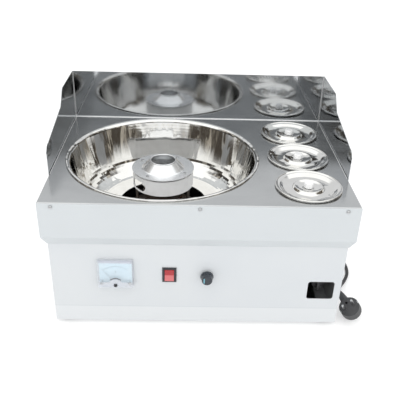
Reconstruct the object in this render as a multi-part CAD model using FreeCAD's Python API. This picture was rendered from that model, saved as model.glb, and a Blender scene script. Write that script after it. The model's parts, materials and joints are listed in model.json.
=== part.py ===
"""Tabletop candy-floss machine: gas-heated spinner head in a lift-out bowl, three lidded sugar pots.

Millimetres. +Z up, the front panel faces -Y. The origin is on the surface the machine stands on,
under the middle of the case.
"""

import math
import os

import FreeCAD
import Part

# --- driving dimensions -------------------------------------------------------------------------
# top tray and case
TRAY_W = 545.0
TRAY_D = 392.0
DECK_Z = 265.0
SHEET = 1.2
SKIRT_H = 68.0
LIP_IN = 9.5
LIP_DROP = 17.4
EDGE_BEND = 2.5
TRAY_SCREW_X = 249.0
TRAY_SCREW_DOWN = 7.5
REAR_SCREW_X = 200.0
REAR_SCREW_UP = 12.0
BRACKET_W = 30.0
BRACKET_H = 18.0
BRACKET_WALL = 1.5
FOOT_H = 8.0
FOOT_R = 12.5
FOOT_TOE_R = 10.5
FOOT_X = 243.0
FOOT_Y = 166.0
BASE_FLANGE = 40.0
BASE_LAP = 17.0
BASE_SCREW_X = 232.0
BASE_SCREW_Y = 152.0

# bowl
BOWL_X = -70.0
BOWL_Y = -1.0
BOWL_OUT_R = 187.1
BOWL_WALL_TOP_R = 177.0
BOWL_WALL_LEAN = 11.5
BOWL_WALL_CURVE = 700.0
BOWL_RIM_UP = 3.0
BOWL_RIM_BEND = 8.0
BOWL_RIM_EDGE = 2.2
BOWL_DEPTH = 108.0
BOWL_HOLE_R = 90.0
BOWL_CORNER = 52.0
BOWL_SHEET = 1.08
BOWL_GAP = 0.1

# sugar pots and lids
POT_X = 193.5
POT_Y = -3.0
POT_PITCH = 120.5
POT_IN_R = 51.5
POT_DEPTH = 100.0
POT_SHEET = 0.8
POT_CORNER = 8.0
POT_FLANGE_R = 57.4
LID_R = 59.8
LID_SHEET = 0.8
LID_LIFT = 1.1
LID_BEAD_R = 1.5
LID_FLOOR = 0.3
LID_KNOB_R = 8.2
LID_KNOB_H = 9.5
LID_STEM_R = 3.9

# splash guard
GUARD_H = 103.0
GUARD_SHEET = 1.0
GUARD_DROP = 25.0
RIVET_DOWN = 14.0

# spinner head
HEAD_R = 59.5
COVER_R = 61.0
COVER_Z = 238.2
RING_TOP_Z = 235.6
RING_BOTTOM_Z = 205.0
FUNNEL_BASE_R = 39.5
FUNNEL_MOUTH_R = 24.0
FUNNEL_TOP_Z = 254.4
DISH_FLOOR_Z = 207.0
DISH_WALL = 1.2
FLANGE_DOWN = 2.4
HEAD_SCREW_R = 51.0
HEAD_SCREW_ANGLES = (57.0, 147.0, 237.0, 327.0)
HUB_TOP_Z = 216.0
SHAFT_R = 4.0
SHAFT_TOP_Z = 229.0
RUNNING_GAP = 0.05
LIGHTER_ANGLES = (-132.0, -138.0, -144.0, -150.0)
LIGHTER_Z = 218.0
LIGHTER_R = 9.5
SEAM_ANGLE = 58.0

# burner, motor and bearings
PLATE_Z = 140.0
PLATE_T = 1.6
PLATE_R = 80.0
BURNER_Z = 186.0
BURNER_RING_R = 34.0
BURNER_TUBE_R = 6.5
BURNER_WALL = 1.2
FEED_ANGLE = 0.0
FEED_R = 4.0
PIPE_BEND = 18.0
PILLAR_ANGLES = (90.0, 210.0, 330.0)
PILLAR_RING_R = 71.0
MOTOR_TOP = 100.0
MOTOR_BOTTOM = 34.0
MOTOR_R = 28.0
MOTOR_SHAFT_R = 3.0
MOTOR_SCREW_RING_R = 18.0
MOTOR_SCREW_ANGLES = (45.0, 135.0, 225.0, 315.0)
COUPLING_MID = 122.0
COUPLING_HALF = 14.0
COUPLING_R = 9.0
BEARING_H = 7.0
BEARING_R = 11.0
BEARING_OUTER_IN_R = 9.0
BEARING_INNER_OUT_R = 6.05

# gas line
VALVE_Y = -118.0
GAS_X = 150.0
GAS_Z = 70.0
HOSE_STUB_R = 4.5
HOSE_STUB_BORE_R = 2.5
HOSE_STUB_OUT = 17.8
LINE_BEND = 20.0

# front panel
METER_X = -147.5
METER_Z = 119.5
METER_W = 64.0
METER_H = 56.0
METER_OUT = 12.0
METER_FLANGE = 3.0
METER_CAN_R = 26.5
METER_SCREW_X = 25.2
METER_SCREW_DOWN = 17.0
NEEDLE_DOWN = 19.5
NEEDLE_REST = -40.0
NEEDLE_LENGTH = 36.5
ZERO_DOWN = 2.0
ZERO_R = 3.0
SWITCH_X = -51.6
SWITCH_Z = 115.2
SWITCH_TILT = 9.0
SWITCH_BEZEL_W = 25.5
SWITCH_BEZEL_H = 31.0
SWITCH_BODY_W = 21.0
SWITCH_BODY_H = 27.8
KNOB_X = 16.0
KNOB_Z = 114.5
KNOB_SPINDLE_R = 2.5
KNOB_NECK_R = 3.5
KNOB_REST = -140.0
WINDOW_X = 226.0
WINDOW_Z = 83.5
WINDOW_W = 49.0
WINDOW_H = 39.0
WINDOW_CORNER = 5.0

# electrics
SUPPLY_X = (70.0, 190.0)
SUPPLY_Y = (20.0, 110.0)
SUPPLY_H = 34.0
TERMINAL_X = (205.0, 245.0)
TERMINAL_Y = (110.0, 130.0)

# mains lead
CORD_R = 3.5
CORD_EXIT = (215.0, 218.5, 30.0)
GLAND_OUT = 4.0
COIL_X = 150.0
COIL_Y = 252.0
COIL_MEAN_R = 38.5
ARC_SHARE = 0.45
PLUG_CENTRE = (297.0, -163.0, 21.5)
PLUG_FACE = (-0.457, -0.375, 0.806)
PLUG_TO_CORD = (-0.33, 0.93, 0.2)
PLUG_R = 19.5
PLUG_DEPTH = 21.0
PLUG_PIN_R = 2.4
PLUG_PIN_L = 19.0
PLUG_PIN_X = 9.5
BOOT_REACH = 43.0
CORD_REAR = [
    CORD_EXIT,
    (215.0, 242.0, 29.0),
    (211.0, 262.0, 22.5),
    (199.0, 279.0, 13.0),
    (182.0, 289.5, 6.0),
    (164.0, 293.6, 3.6),
    (147.0, 294.2, 3.5),
]
CORD_SIDE = [
    (152.0, 210.0, 10.5),
    (180.0, 209.0, 8.0),
    (212.0, 211.5, 4.2),
    (246.0, 209.0, 3.5),
    (276.0, 195.0, 3.5),
    (297.0, 168.0, 3.5),
    (309.0, 130.0, 3.5),
    (315.0, 88.0, 3.5),
    (323.0, 46.0, 3.5),
    (329.5, 8.0, 3.5),
    (327.0, -24.0, 3.5),
    (313.0, -53.0, 5.0),
    (298.0, -78.0, 11.5),
    (288.0, -101.0, 20.5),
]

# fasteners: head radius, head height, shank radius, shank length
SHEET_SCREW = (3.4, 1.9, 1.5, 6.0)
BASE_SCREW = (3.4, 1.9, 1.45, 6.0)
HEAD_SCREW = (2.9, 1.8, 1.45, 6.2)
MOTOR_SCREW = (3.6, 2.2, 1.9, 3.0)
METER_SCREW = (2.3, 1.1, 1.5, 8.0)

# --- worked-out values --------------------------------------------------------------------------
CASE_W = TRAY_W - 2 * LIP_IN
CASE_D = TRAY_D - 2 * LIP_IN
CASE_FRONT = -CASE_D / 2
CASE_BACK = CASE_D / 2
SKIRT_Z = DECK_Z - SKIRT_H
LIP_Z = SKIRT_Z - LIP_DROP
BASE_Z = FOOT_H + SHEET
INSIDE_Z = BASE_Z + SHEET
DECK_UNDER = DECK_Z - SHEET
NEEDLE_Z = METER_Z - NEEDLE_DOWN
ZERO_Z = NEEDLE_Z - ZERO_DOWN
BEARING_Z = PLATE_Z + PLATE_T + 1.5
PAST = 3.0
X = FreeCAD.Vector(1, 0, 0)
Y = FreeCAD.Vector(0, 1, 0)
Z = FreeCAD.Vector(0, 0, 1)
PARTS = "parts"


def vec(x, y, z):
    return FreeCAD.Vector(x, y, z)


# --- shape helpers ------------------------------------------------------------------------------
def block(x0, x1, y0, y1, z0, z1):
    return Part.makeBox(x1 - x0, y1 - y0, z1 - z0, vec(x0, y0, z0))


def centred(cx, cy, cz, wide, deep, high):
    x, y, z = wide / 2, deep / 2, high / 2
    return block(cx - x, cx + x, cy - y, cy + y, cz - z, cz + z)


def post(x, y, z0, z1, radius):
    return Part.makeCylinder(radius, z1 - z0, vec(x, y, z0), Z)


def rod_y(x, z, y0, y1, radius):
    return Part.makeCylinder(radius, y1 - y0, vec(x, y0, z), Y)


def tube_z(x, y, z0, z1, outer, inner):
    return post(x, y, z0, z1, outer).cut(post(x, y, z0 - 1, z1 + 1, inner))


def front_hole(x, z, radius):
    """Cutter for a round hole through the front panel."""
    return rod_y(x, z, CASE_FRONT - PAST, CASE_FRONT + PAST, radius)


def rear_hole(x, z, radius):
    """Cutter for a round hole through the rear panel."""
    return rod_y(x, z, CASE_BACK - PAST, CASE_BACK + PAST, radius)


def revolved(profile, x, y):
    """A closed outline of (radius, height) points turned about the vertical axis through (x, y)."""
    points = [vec(r, 0, z) for r, z in profile]
    face = Part.Face(Part.makePolygon(points + points[:1]))
    solid = face.revolve(vec(0, 0, 0), Z, 360)
    solid.translate(vec(x, y, 0))
    return solid


def bead(x, y, z, ring_radius, wire_radius):
    return Part.makeTorus(ring_radius, wire_radius, vec(x, y, z), Z)


def skin(line, thickness):
    """A thin wall under an open line of (radius, height) points: the line, then itself pushed down."""
    pushed = []
    for i, (r, z) in enumerate(line):
        before = line[max(i - 1, 0)]
        after = line[min(i + 1, len(line) - 1)]
        turn = math.atan2(after[1] - before[1], after[0] - before[0])
        pushed.append((r + thickness * math.sin(turn), z - thickness * math.cos(turn)))
    return list(line) + pushed[::-1]


def arc_points(cx, cz, radius, start, end, steps):
    """Points (radius, height) along an arc, with angles in degrees."""
    turns = [math.radians(start + (end - start) * i / steps) for i in range(steps + 1)]
    return [(cx + radius * math.cos(t), cz + radius * math.sin(t)) for t in turns]


def prism_x(outline, x0, x1):
    """A closed outline of (y, z) points extruded along X."""
    points = [vec(x0, y, z) for y, z in outline]
    face = Part.Face(Part.makePolygon(points + points[:1]))
    return face.extrude(vec(x1 - x0, 0, 0))


def prism_y(outline, y0, y1):
    """A closed outline of (x, z) points extruded along Y."""
    points = [vec(x, y0, z) for x, z in outline]
    face = Part.Face(Part.makePolygon(points + points[:1]))
    return face.extrude(vec(0, y1 - y0, 0))


def hexagon(across_flats):
    """Corners of a hexagon round the origin."""
    radius = across_flats / math.sqrt(3)
    return around(0, 0, radius, range(0, 360, 60))


def hexagon_z(x, y, z0, z1, across_flats):
    points = [vec(x + a, y + b, z0) for a, b in hexagon(across_flats)]
    return Part.Face(Part.makePolygon(points + points[:1])).extrude(vec(0, 0, z1 - z0))


def hexagon_y(x, z, y0, y1, across_flats):
    return prism_y([(x + a, z + b) for a, b in hexagon(across_flats)], y0, y1)


def rounded_edges(solid, radius, keep):
    """Fillets the solid's edges that keep(edge) picks."""
    chosen = [edge for edge in solid.Edges if keep(edge)]
    return solid.makeFillet(radius, chosen)


def along(edge, axis):
    """Is a straight edge parallel to the axis?"""
    if len(edge.Vertexes) < 2:
        return False
    run = edge.Vertexes[1].Point.sub(edge.Vertexes[0].Point)
    return run.Length > 0 and abs(run.dot(axis)) > 0.999 * run.Length


def is_round_and_large(edge):
    return edge.Length > 100


def around(cx, cy, radius, angles):
    """Points on a circle, with angles in degrees counted from +X."""
    turns = [math.radians(a) for a in angles]
    return [(cx + radius * math.cos(t), cy + radius * math.sin(t)) for t in turns]


def about_bowl(radius, angles):
    return around(BOWL_X, BOWL_Y, radius, angles)


def pan_screw(centre, out, sizes):
    """A domed-head screw: the head's underside is at centre, out points out of the head."""
    head_r, head_h, shank_r, shank_l = sizes
    dome = head_h * 0.45
    rim = head_h * 0.9
    head = Part.makeCylinder(head_r, head_h, centre, out)
    head = rounded_edges(head, dome, lambda e: e.CenterOfMass.sub(centre).dot(out) > rim)
    slot_w = head_r * 0.3
    slot = Part.makeBox(3 * head_r, slot_w, head_h)
    slot.translate(vec(-1.5 * head_r, -slot_w / 2, head_h * 0.55))
    slot.Placement = FreeCAD.Placement(centre, FreeCAD.Rotation(Z, out)).multiply(slot.Placement)
    shank = Part.makeCylinder(shank_r, shank_l, centre, out.negative())
    return head.cut(slot).fuse(shank)


def rounded_path(route, radius_at):
    """Straight runs joined by tangent arcs of radius_at(shorter run, half the turn)."""
    points = [vec(*p) for p in route]
    edges = []
    radii = []
    here = points[0]
    for before, corner, after in zip(points, points[1:], points[2:]):
        back = before.sub(corner)
        ahead = after.sub(corner)
        shorter = min(back.Length, ahead.Length)
        back.normalize()
        ahead.normalize()
        half_turn = (math.pi - back.getAngle(ahead)) / 2
        radius = radius_at(shorter, half_turn)
        leg = radius * math.tan(half_turn)
        middle_way = back.add(ahead)
        middle_way.normalize()
        reach = radius / math.cos(half_turn) - radius
        start = corner.add(back * leg)
        end = corner.add(ahead * leg)
        edges.append(Part.LineSegment(here, start).toShape())
        edges.append(Part.Arc(start, corner.add(middle_way * reach), end).toShape())
        radii.append(radius)
        here = end
    edges.append(Part.LineSegment(here, points[-1]).toShape())
    return Part.Wire(edges), radii


def swept(route, radius, radius_at):
    wire, radii = rounded_path(route, radius_at)
    first = vec(*route[1]).sub(vec(*route[0]))
    circle = Part.Wire(Part.Circle(vec(*route[0]), first, radius).toShape())
    solid = wire.makePipeShell([circle], True, False)
    return solid, wire.Length, radii


def bent_pipe(route, radius, bend):
    """A pipe whose bends all have one radius."""
    return swept(route, radius, lambda shorter, half_turn: bend)[0]


def limp_tube(route, radius):
    """A cord's tube, each arc as large as its two runs allow."""
    return swept(route, radius, lambda shorter, half_turn: ARC_SHARE * shorter / math.tan(half_turn))


def save(name, solids):
    """Writes one node: one solid, or several separate ones."""
    os.makedirs(PARTS, exist_ok=True)
    shape = solids if not isinstance(solids, list) else Part.makeCompound(solids)
    shape.exportStep(f"{PARTS}/{name}.step")


# --- sheet-metal enclosure ----------------------------------------------------------------------
def lip_solid(wide, deep, wide_low, deep_low, z_low):
    """The slanted lower lip of the tray, as a solid between two rectangles."""
    wires = []
    for w, d, z in ((wide, deep, SKIRT_Z), (wide_low, deep_low, z_low)):
        x, y = w / 2, d / 2
        corners = [vec(-x, -y, z), vec(x, -y, z), vec(x, y, z), vec(-x, y, z)]
        wires.append(Part.makePolygon(corners + corners[:1]))
    return Part.makeLoft(wires, True, True)


def tray_fixings():
    """Places and outward directions of the screws through the tray's skirt."""
    front = [(x, -TRAY_D / 2, DECK_Z - TRAY_SCREW_DOWN) for x in (-TRAY_SCREW_X, 0.0, TRAY_SCREW_X)]
    rear = [(x, TRAY_D / 2, SKIRT_Z + REAR_SCREW_UP) for x in (-REAR_SCREW_X, 0.0, REAR_SCREW_X)]
    return [(vec(*p), Y.negative()) for p in front] + [(vec(*p), Y) for p in rear]


def top_tray():
    wide_in = TRAY_W - 2 * SHEET
    deep_in = TRAY_D - 2 * SHEET
    bowl_lap = 2.5
    pot_gap = 1.6
    screw_r = 1.6
    outer = centred(0, 0, (DECK_Z + SKIRT_Z) / 2, TRAY_W, TRAY_D, SKIRT_H)
    outer = rounded_edges(outer, EDGE_BEND, lambda e: e.CenterOfMass.z > DECK_Z - 1 and not along(e, Z))
    outer = outer.fuse(lip_solid(TRAY_W, TRAY_D, CASE_W + 2 * SHEET, CASE_D + 2 * SHEET, LIP_Z))
    inner = centred(0, 0, (DECK_UNDER + SKIRT_Z) / 2, wide_in, deep_in, SKIRT_H - SHEET)
    inner = inner.fuse(lip_solid(wide_in, deep_in, CASE_W, CASE_D, LIP_Z))
    tray = outer.cut(inner)
    tray = tray.cut(post(BOWL_X, BOWL_Y, DECK_UNDER - PAST, DECK_Z + PAST, BOWL_OUT_R - bowl_lap))
    for y in pot_places():
        tray = tray.cut(post(POT_X, y, DECK_UNDER - PAST, DECK_Z + PAST, POT_IN_R + pot_gap))
    for place, out in tray_fixings():
        tray = tray.cut(Part.makeCylinder(screw_r, 2 * PAST, place.add(out * 2), out.negative()))
    return tray


def tray_brackets():
    """Small channels that fill the gap between skirt and case and take the skirt screws."""
    gap = (TRAY_D - CASE_D) / 2 - SHEET
    half = BRACKET_W / 2
    inside = half - 2
    brackets = []
    for place, out in tray_fixings():
        face = place.sub(out * SHEET)
        low = DECK_UNDER - BRACKET_H if out.y < 0 else SKIRT_Z + 2
        high = low + BRACKET_H
        near = min(face.y, face.y - out.y * gap)
        far = near + gap
        channel = block(place.x - half, place.x + half, near, far, low, high)
        hollow = block(
            place.x - inside, place.x + inside, near + BRACKET_WALL, far - BRACKET_WALL, low - 1, high + 1
        )
        hole = Part.makeCylinder(1.5, 5, face.add(out), out.negative())
        brackets.append(channel.cut(hollow).cut(hole))
    return brackets


def tray_screws():
    return [pan_screw(place, out, SHEET_SCREW) for place, out in tray_fixings()]


def window_cut():
    opening = centred(WINDOW_X, CASE_FRONT, WINDOW_Z, WINDOW_W, 2 * PAST, WINDOW_H)
    return rounded_edges(opening, WINDOW_CORNER, lambda e: along(e, Y))


def vent_slots():
    """Air slots of the rear panel, in three rows beside the motor."""
    first_x = -190.0
    pitch = 32.0
    slot_w = 24.0
    slot_h = 6.0
    slots = []
    for row_z in (60.0, 84.0, 108.0):
        for i in range(8):
            slots.append(centred(first_x + pitch * i, CASE_BACK, row_z, slot_w, 2 * PAST, slot_h))
    return slots


def panel_cuts():
    """Cutters for everything that passes the front and rear panels."""
    cuts = vent_slots()
    cuts.append(front_hole(METER_X, METER_Z, METER_CAN_R + 0.3))
    cuts.append(front_hole(KNOB_X, KNOB_Z, KNOB_NECK_R + 0.1))
    cuts.append(centred(SWITCH_X, CASE_FRONT, SWITCH_Z, SWITCH_BODY_W + 0.4, 2 * PAST, SWITCH_BODY_H + 0.4))
    cuts.append(window_cut())
    cuts.append(rear_hole(CORD_EXIT[0], CORD_EXIT[2], 8.1))
    cuts.append(rear_hole(GAS_X, GAS_Z, 6.1))
    return cuts


def lower_case():
    """Front, rear and side walls with a flange turned in under them."""
    outer = centred(0, 0, (FOOT_H + DECK_UNDER) / 2, CASE_W, CASE_D, DECK_UNDER - FOOT_H)
    inner = centred(0, 0, (BASE_Z + DECK_Z) / 2, CASE_W - 2 * SHEET, CASE_D - 2 * SHEET, DECK_Z - BASE_Z)
    opening = centred(0, 0, FOOT_H, CASE_W - 2 * BASE_FLANGE, CASE_D - 2 * BASE_FLANGE, FOOT_H)
    screw_holes = [post(x, y, FOOT_H - 1, BASE_Z + 1, 1.7) for x, y in base_screw_places()]
    return outer.cut(inner).cut(Part.makeCompound([opening] + panel_cuts() + screw_holes))


def base_screw_places():
    places = [(x, y) for x in (-BASE_SCREW_X, 0.0, BASE_SCREW_X) for y in (-BASE_SCREW_Y, BASE_SCREW_Y)]
    return places


def base_plate():
    """Plate that closes the case from inside, with slots under the burner for air."""
    wide = CASE_W - 2 * BASE_FLANGE + 2 * BASE_LAP
    deep = CASE_D - 2 * BASE_FLANGE + 2 * BASE_LAP
    slot_w = 90.0
    slot_h = 7.0
    slot_pitch = 24.0
    plate = centred(0, 0, BASE_Z + SHEET / 2, wide, deep, SHEET)
    holes = [post(x, y, BASE_Z - 1, BASE_Z + 3, 1.5) for x, y in base_screw_places()]
    for i in range(6):
        y = BOWL_Y + slot_pitch * (i - 2.5)
        holes.append(centred(BOWL_X, y, BASE_Z, slot_w, slot_h, 2 * PAST))
    return plate.cut(Part.makeCompound(holes))


def base_screws():
    return [pan_screw(vec(x, y, FOOT_H), Z.negative(), BASE_SCREW) for x, y in base_screw_places()]


def rubber_feet():
    places = [(x, y) for x in (-FOOT_X, FOOT_X) for y in (-FOOT_Y, FOOT_Y)]
    return [Part.makeCone(FOOT_TOE_R, FOOT_R, FOOT_H, vec(x, y, 0), Z) for x, y in places]


def wing_outline():
    """Side profile (y, z) of a splash-guard wing: high at the back, stepping down to the front."""
    top = DECK_Z + GUARD_H
    low = DECK_Z - GUARD_DROP
    rear = TRAY_D / 2 + GUARD_SHEET
    nose_r = 16.5
    nose_y = -91.0
    nose = arc_points(nose_y + nose_r, DECK_Z + 36, nose_r, 78, 180, 8)
    return [(rear, low), (rear, top), (81.0, top), (52.0, DECK_Z + 74)] + nose + [(nose_y, low)]


def splash_guard():
    inner_x = TRAY_W / 2
    outer_x = inner_x + GUARD_SHEET
    rear = TRAY_D / 2
    outline = wing_outline()
    left = prism_x(outline, -outer_x, -inner_x)
    right = prism_x(outline, inner_x, outer_x)
    back = block(-inner_x, inner_x, rear, rear + GUARD_SHEET, DECK_Z - GUARD_DROP, DECK_Z + GUARD_H)
    guard = left.fuse([back, right])
    for place, out in guard_fixings():
        guard = guard.cut(Part.makeCylinder(1.9, 4, place.add(out), out.negative()))
    return guard


def guard_fixings():
    z = DECK_Z - RIVET_DOWN
    side = TRAY_W / 2 + GUARD_SHEET
    rear = TRAY_D / 2 + GUARD_SHEET
    places = [(vec(x, rear, z), Y) for x in (-220.0, 0.0, 220.0)]
    for y in (-60.0, 150.0):
        places.append((vec(-side, y, z), X.negative()))
        places.append((vec(side, y, z), X))
    return places


def guard_rivets():
    """Blind rivets through guard and skirt."""
    head_r = 3.2
    head_h = 1.1
    rivets = []
    for place, out in guard_fixings():
        head = Part.makeCylinder(head_r, head_h, place, out)
        head = rounded_edges(head, 0.8, lambda e: e.CenterOfMass.sub(place).dot(out) > head_h - 0.1)
        rivets.append(head.fuse(Part.makeCylinder(1.8, GUARD_SHEET, place, out.negative())))
    return rivets


# --- lift-out bowl and sugar pots ---------------------------------------------------------------
def bowl_line():
    """Upper face of the bowl's sheet, from its hole outwards: floor, corner, hollow wall and rim."""
    floor = DECK_Z - BOWL_DEPTH
    lean = math.radians(BOWL_WALL_LEAN)
    bend_x = BOWL_WALL_TOP_R + BOWL_RIM_BEND * math.cos(lean)
    bend_z = DECK_Z + BOWL_RIM_UP - BOWL_RIM_BEND
    wall_top = bend_z + BOWL_RIM_BEND * math.sin(lean)
    wall_x = BOWL_WALL_TOP_R - BOWL_WALL_CURVE * math.cos(lean)
    wall_z = wall_top + BOWL_WALL_CURVE * math.sin(lean)
    low_turn = math.asin((wall_z - floor - BOWL_CORNER) / (BOWL_WALL_CURVE - BOWL_CORNER))
    corner_x = wall_x + (BOWL_WALL_CURVE - BOWL_CORNER) * math.cos(low_turn)
    low = -math.degrees(low_turn)
    edge_x = BOWL_OUT_R - BOWL_RIM_EDGE
    edge_z = DECK_Z + BOWL_RIM_UP - BOWL_RIM_EDGE
    turned_up = [(0.0, 4.0), (0.6, 1.0), (2.5, 0.0)]
    line = [(BOWL_HOLE_R + r, floor + z) for r, z in turned_up]
    line += arc_points(corner_x, floor + BOWL_CORNER, BOWL_CORNER, -90, low, 12)
    line += arc_points(wall_x, wall_z, BOWL_WALL_CURVE, low, -BOWL_WALL_LEAN, 10)[1:]
    line += arc_points(bend_x, bend_z, BOWL_RIM_BEND, 180 - BOWL_WALL_LEAN, 90, 6)[1:]
    line += arc_points(edge_x, edge_z, BOWL_RIM_EDGE, 90, 0, 5)
    return line + [(BOWL_OUT_R, DECK_Z + BOWL_GAP)]


def bowl():
    """Spun bowl: turned-up hole edge, flat floor, hollow wall and a rounded rim that hangs on the deck."""
    return revolved(skin(bowl_line(), BOWL_SHEET), BOWL_X, BOWL_Y)


def pot_places():
    return [POT_Y + POT_PITCH * i for i in (-1, 0, 1)]


def sugar_pot(y):
    """Deep-drawn pot that hangs in the deck by its flange."""
    bottom = DECK_Z - POT_DEPTH
    centre_r = POT_IN_R - POT_CORNER
    centre_z = bottom + POT_CORNER
    line = [(0.0, bottom)]
    line += arc_points(centre_r, centre_z, POT_CORNER, -90, 0, 6)
    line += [(POT_IN_R, DECK_Z + POT_SHEET)]
    outer = [(0.0, bottom - POT_SHEET)]
    outer += arc_points(centre_r, centre_z, POT_CORNER + POT_SHEET, -90, 0, 6)
    outer += [(POT_IN_R + POT_SHEET, DECK_Z), (POT_FLANGE_R, DECK_Z), (POT_FLANGE_R, DECK_Z + POT_SHEET)]
    return revolved(line + outer[::-1], POT_X, y)


def pot_lid(y):
    """Pressed lid: dished middle with a steep edge, wide trough and a rolled rim."""
    pressed = [(4.0, 0.3), (13.0, 0.3), (19.0, 1.0), (23.5, 2.7), (25.5, 2.9), (27.0, 2.0), (29.8, -1.5)]
    pressed += [(31.8, -2.2), (45.0, -2.2), (50.0, 2.0), (52.5, 2.6), (LID_R - 2.2, 2.6)]
    line = [(r, DECK_Z + z) for r, z in pressed]
    pan = revolved(skin(line, LID_SHEET), POT_X, y)
    return pan.fuse(bead(POT_X, y, DECK_Z + LID_LIFT + LID_BEAD_R, LID_R - LID_BEAD_R, LID_BEAD_R))


def lid_knob(y):
    """Turned knob on the lid, held by a nut under it."""
    low = DECK_Z + LID_FLOOR
    under = low - LID_SHEET
    stem = post(POT_X, y, under - 2.0, low + 2.0, LID_STEM_R)
    body = post(POT_X, y, low + 0.05, low + LID_KNOB_H, LID_KNOB_R)
    body = rounded_edges(body, 1.4, lambda e: e.CenterOfMass.z > low + LID_KNOB_H - 0.5)
    nut = post(POT_X, y, under - 2.4, under - 0.1, 6.5)
    return body.fuse([stem, nut])


# --- spinner head on its shaft ------------------------------------------------------------------
def head_screw_places():
    return about_bowl(HEAD_SCREW_R, HEAD_SCREW_ANGLES)


def spinner_dish():
    """Heated dish: hub, flat floor, flared wall and the flange that carries the cover."""
    flange_z = COVER_Z - FLANGE_DOWN
    hub_r = 9.0
    floor_r = 43.2
    wall_top_r = 48.4
    flange_r = 56.0
    floor_top = DISH_FLOOR_Z + 1.4
    line = [(SHAFT_R, HUB_TOP_Z), (hub_r, HUB_TOP_Z), (hub_r, floor_top), (floor_r - DISH_WALL, floor_top)]
    line += [(wall_top_r - DISH_WALL, flange_z), (flange_r, flange_z), (flange_r, flange_z - DISH_WALL)]
    line += [(wall_top_r, flange_z - DISH_WALL), (floor_r, DISH_FLOOR_Z), (SHAFT_R, DISH_FLOOR_Z)]
    dish = revolved(line, BOWL_X, BOWL_Y)
    for x, y in head_screw_places():
        dish = dish.cut(post(x, y, flange_z - PAST, flange_z + PAST, 1.5))
    return dish


def spinner_cover():
    """Top disc with the funnel that sugar is poured into."""
    top = COVER_Z + SHEET
    line = [(FUNNEL_MOUTH_R, FUNNEL_TOP_Z), (FUNNEL_MOUTH_R + 1.2, FUNNEL_TOP_Z)]
    line += [(FUNNEL_BASE_R + 0.8, top + 1.0), (FUNNEL_BASE_R + 2.2, top), (COVER_R, top)]
    line += [(COVER_R, COVER_Z), (FUNNEL_BASE_R - 0.6, COVER_Z)]
    cover = revolved(line, BOWL_X, BOWL_Y)
    cover = cover.fuse(bead(BOWL_X, BOWL_Y, FUNNEL_TOP_Z, FUNNEL_MOUTH_R + 0.6, 1.5))
    for x, y in head_screw_places():
        cover = cover.cut(post(x, y, COVER_Z - PAST, COVER_Z + PAST, 1.6))
    return cover


def spinner_spacers():
    return [tube_z(x, y, COVER_Z - FLANGE_DOWN, COVER_Z, 3.0, 1.6) for x, y in head_screw_places()]


def spinner_screws():
    return [pan_screw(vec(x, y, COVER_Z + SHEET), Z, HEAD_SCREW) for x, y in head_screw_places()]


def drive_shaft():
    body = post(BOWL_X, BOWL_Y, COUPLING_MID, SHAFT_TOP_Z, SHAFT_R)
    return rounded_edges(body, 0.8, lambda e: e.CenterOfMass.z > SHAFT_TOP_Z - 1)


def spinner_nut():
    washer_top = HUB_TOP_Z + 1.4
    nut_top = washer_top + 6.5
    washer = tube_z(BOWL_X, BOWL_Y, HUB_TOP_Z, washer_top, 8.5, SHAFT_R)
    nut = hexagon_z(BOWL_X, BOWL_Y, washer_top, nut_top, 13.0)
    return [washer, nut.cut(post(BOWL_X, BOWL_Y, HUB_TOP_Z, nut_top + 1, SHAFT_R))]


# --- burner under the head ----------------------------------------------------------------------
def flame_guard():
    """Still ring round the dish and burner, with the long hole that a lighter goes through."""
    high = RING_TOP_Z - RING_BOTTOM_Z
    ring = tube_z(BOWL_X, BOWL_Y, RING_BOTTOM_Z, RING_TOP_Z, HEAD_R, HEAD_R - SHEET)
    middle = vec(BOWL_X, BOWL_Y, LIGHTER_Z)
    inside = HEAD_R - 6
    slot = []
    for angle in LIGHTER_ANGLES:
        way = math.radians(angle)
        out = vec(math.cos(way), math.sin(way), 0)
        slot.append(Part.makeCylinder(LIGHTER_R, 12, middle.add(out * inside), out))
    seam = centred(0, 0, RING_BOTTOM_Z + high / 2, 9, 0.8, high)
    seam.translate(vec(0, -HEAD_R + 0.3, 0))
    seam.rotate(vec(0, 0, 0), Z, SEAM_ANGLE)
    seam.translate(vec(BOWL_X, BOWL_Y, 0))
    return ring.fuse(seam).cut(Part.makeCompound(slot))


def guard_legs():
    """Strips from the burner plate up to the inside of the flame guard."""
    outside = HEAD_R - SHEET
    strip_t = 1.6
    half_w = 4.5
    pad_l = 11.0
    low = PLATE_Z + PLATE_T
    lap = 3.4
    high = RING_BOTTOM_Z + lap
    legs = []
    for angle in PILLAR_ANGLES:
        strip = block(outside - strip_t, outside, -half_w, half_w, low, high)
        pad = block(outside - pad_l, outside - strip_t, -half_w, half_w, low, low + strip_t)
        leg = strip.fuse(pad).common(post(0, 0, low - 1, high + 1, outside))
        leg.rotate(vec(0, 0, 0), Z, angle)
        leg.translate(vec(BOWL_X, BOWL_Y, 0))
        legs.append(leg)
    return legs


def feed_place():
    return about_bowl(BURNER_RING_R, (FEED_ANGLE,))[0]


def burner_plate():
    """Round plate that carries the bearing, burner and flame guard, pierced for air."""
    plate = tube_z(BOWL_X, BOWL_Y, PLATE_Z, PLATE_Z + PLATE_T, PLATE_R, 6.0)
    air_ring_r = 57.0
    air_hole_r = 8.0
    cuts = [post(*feed_place(), PLATE_Z - PAST, PLATE_Z + PAST, FEED_R + 2.5)]
    for x, y in about_bowl(air_ring_r, range(30, 390, 60)):
        if all(math.hypot(x - px, y - py) > 20 for px, py in pillar_places()):
            cuts.append(post(x, y, PLATE_Z - PAST, PLATE_Z + PAST, air_hole_r))
    return plate.cut(Part.makeCompound(cuts))


def pillar_places():
    return about_bowl(PILLAR_RING_R, PILLAR_ANGLES)


def plate_pillars():
    return [post(x, y, INSIDE_Z, PLATE_Z, 5.0) for x, y in pillar_places()]


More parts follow.
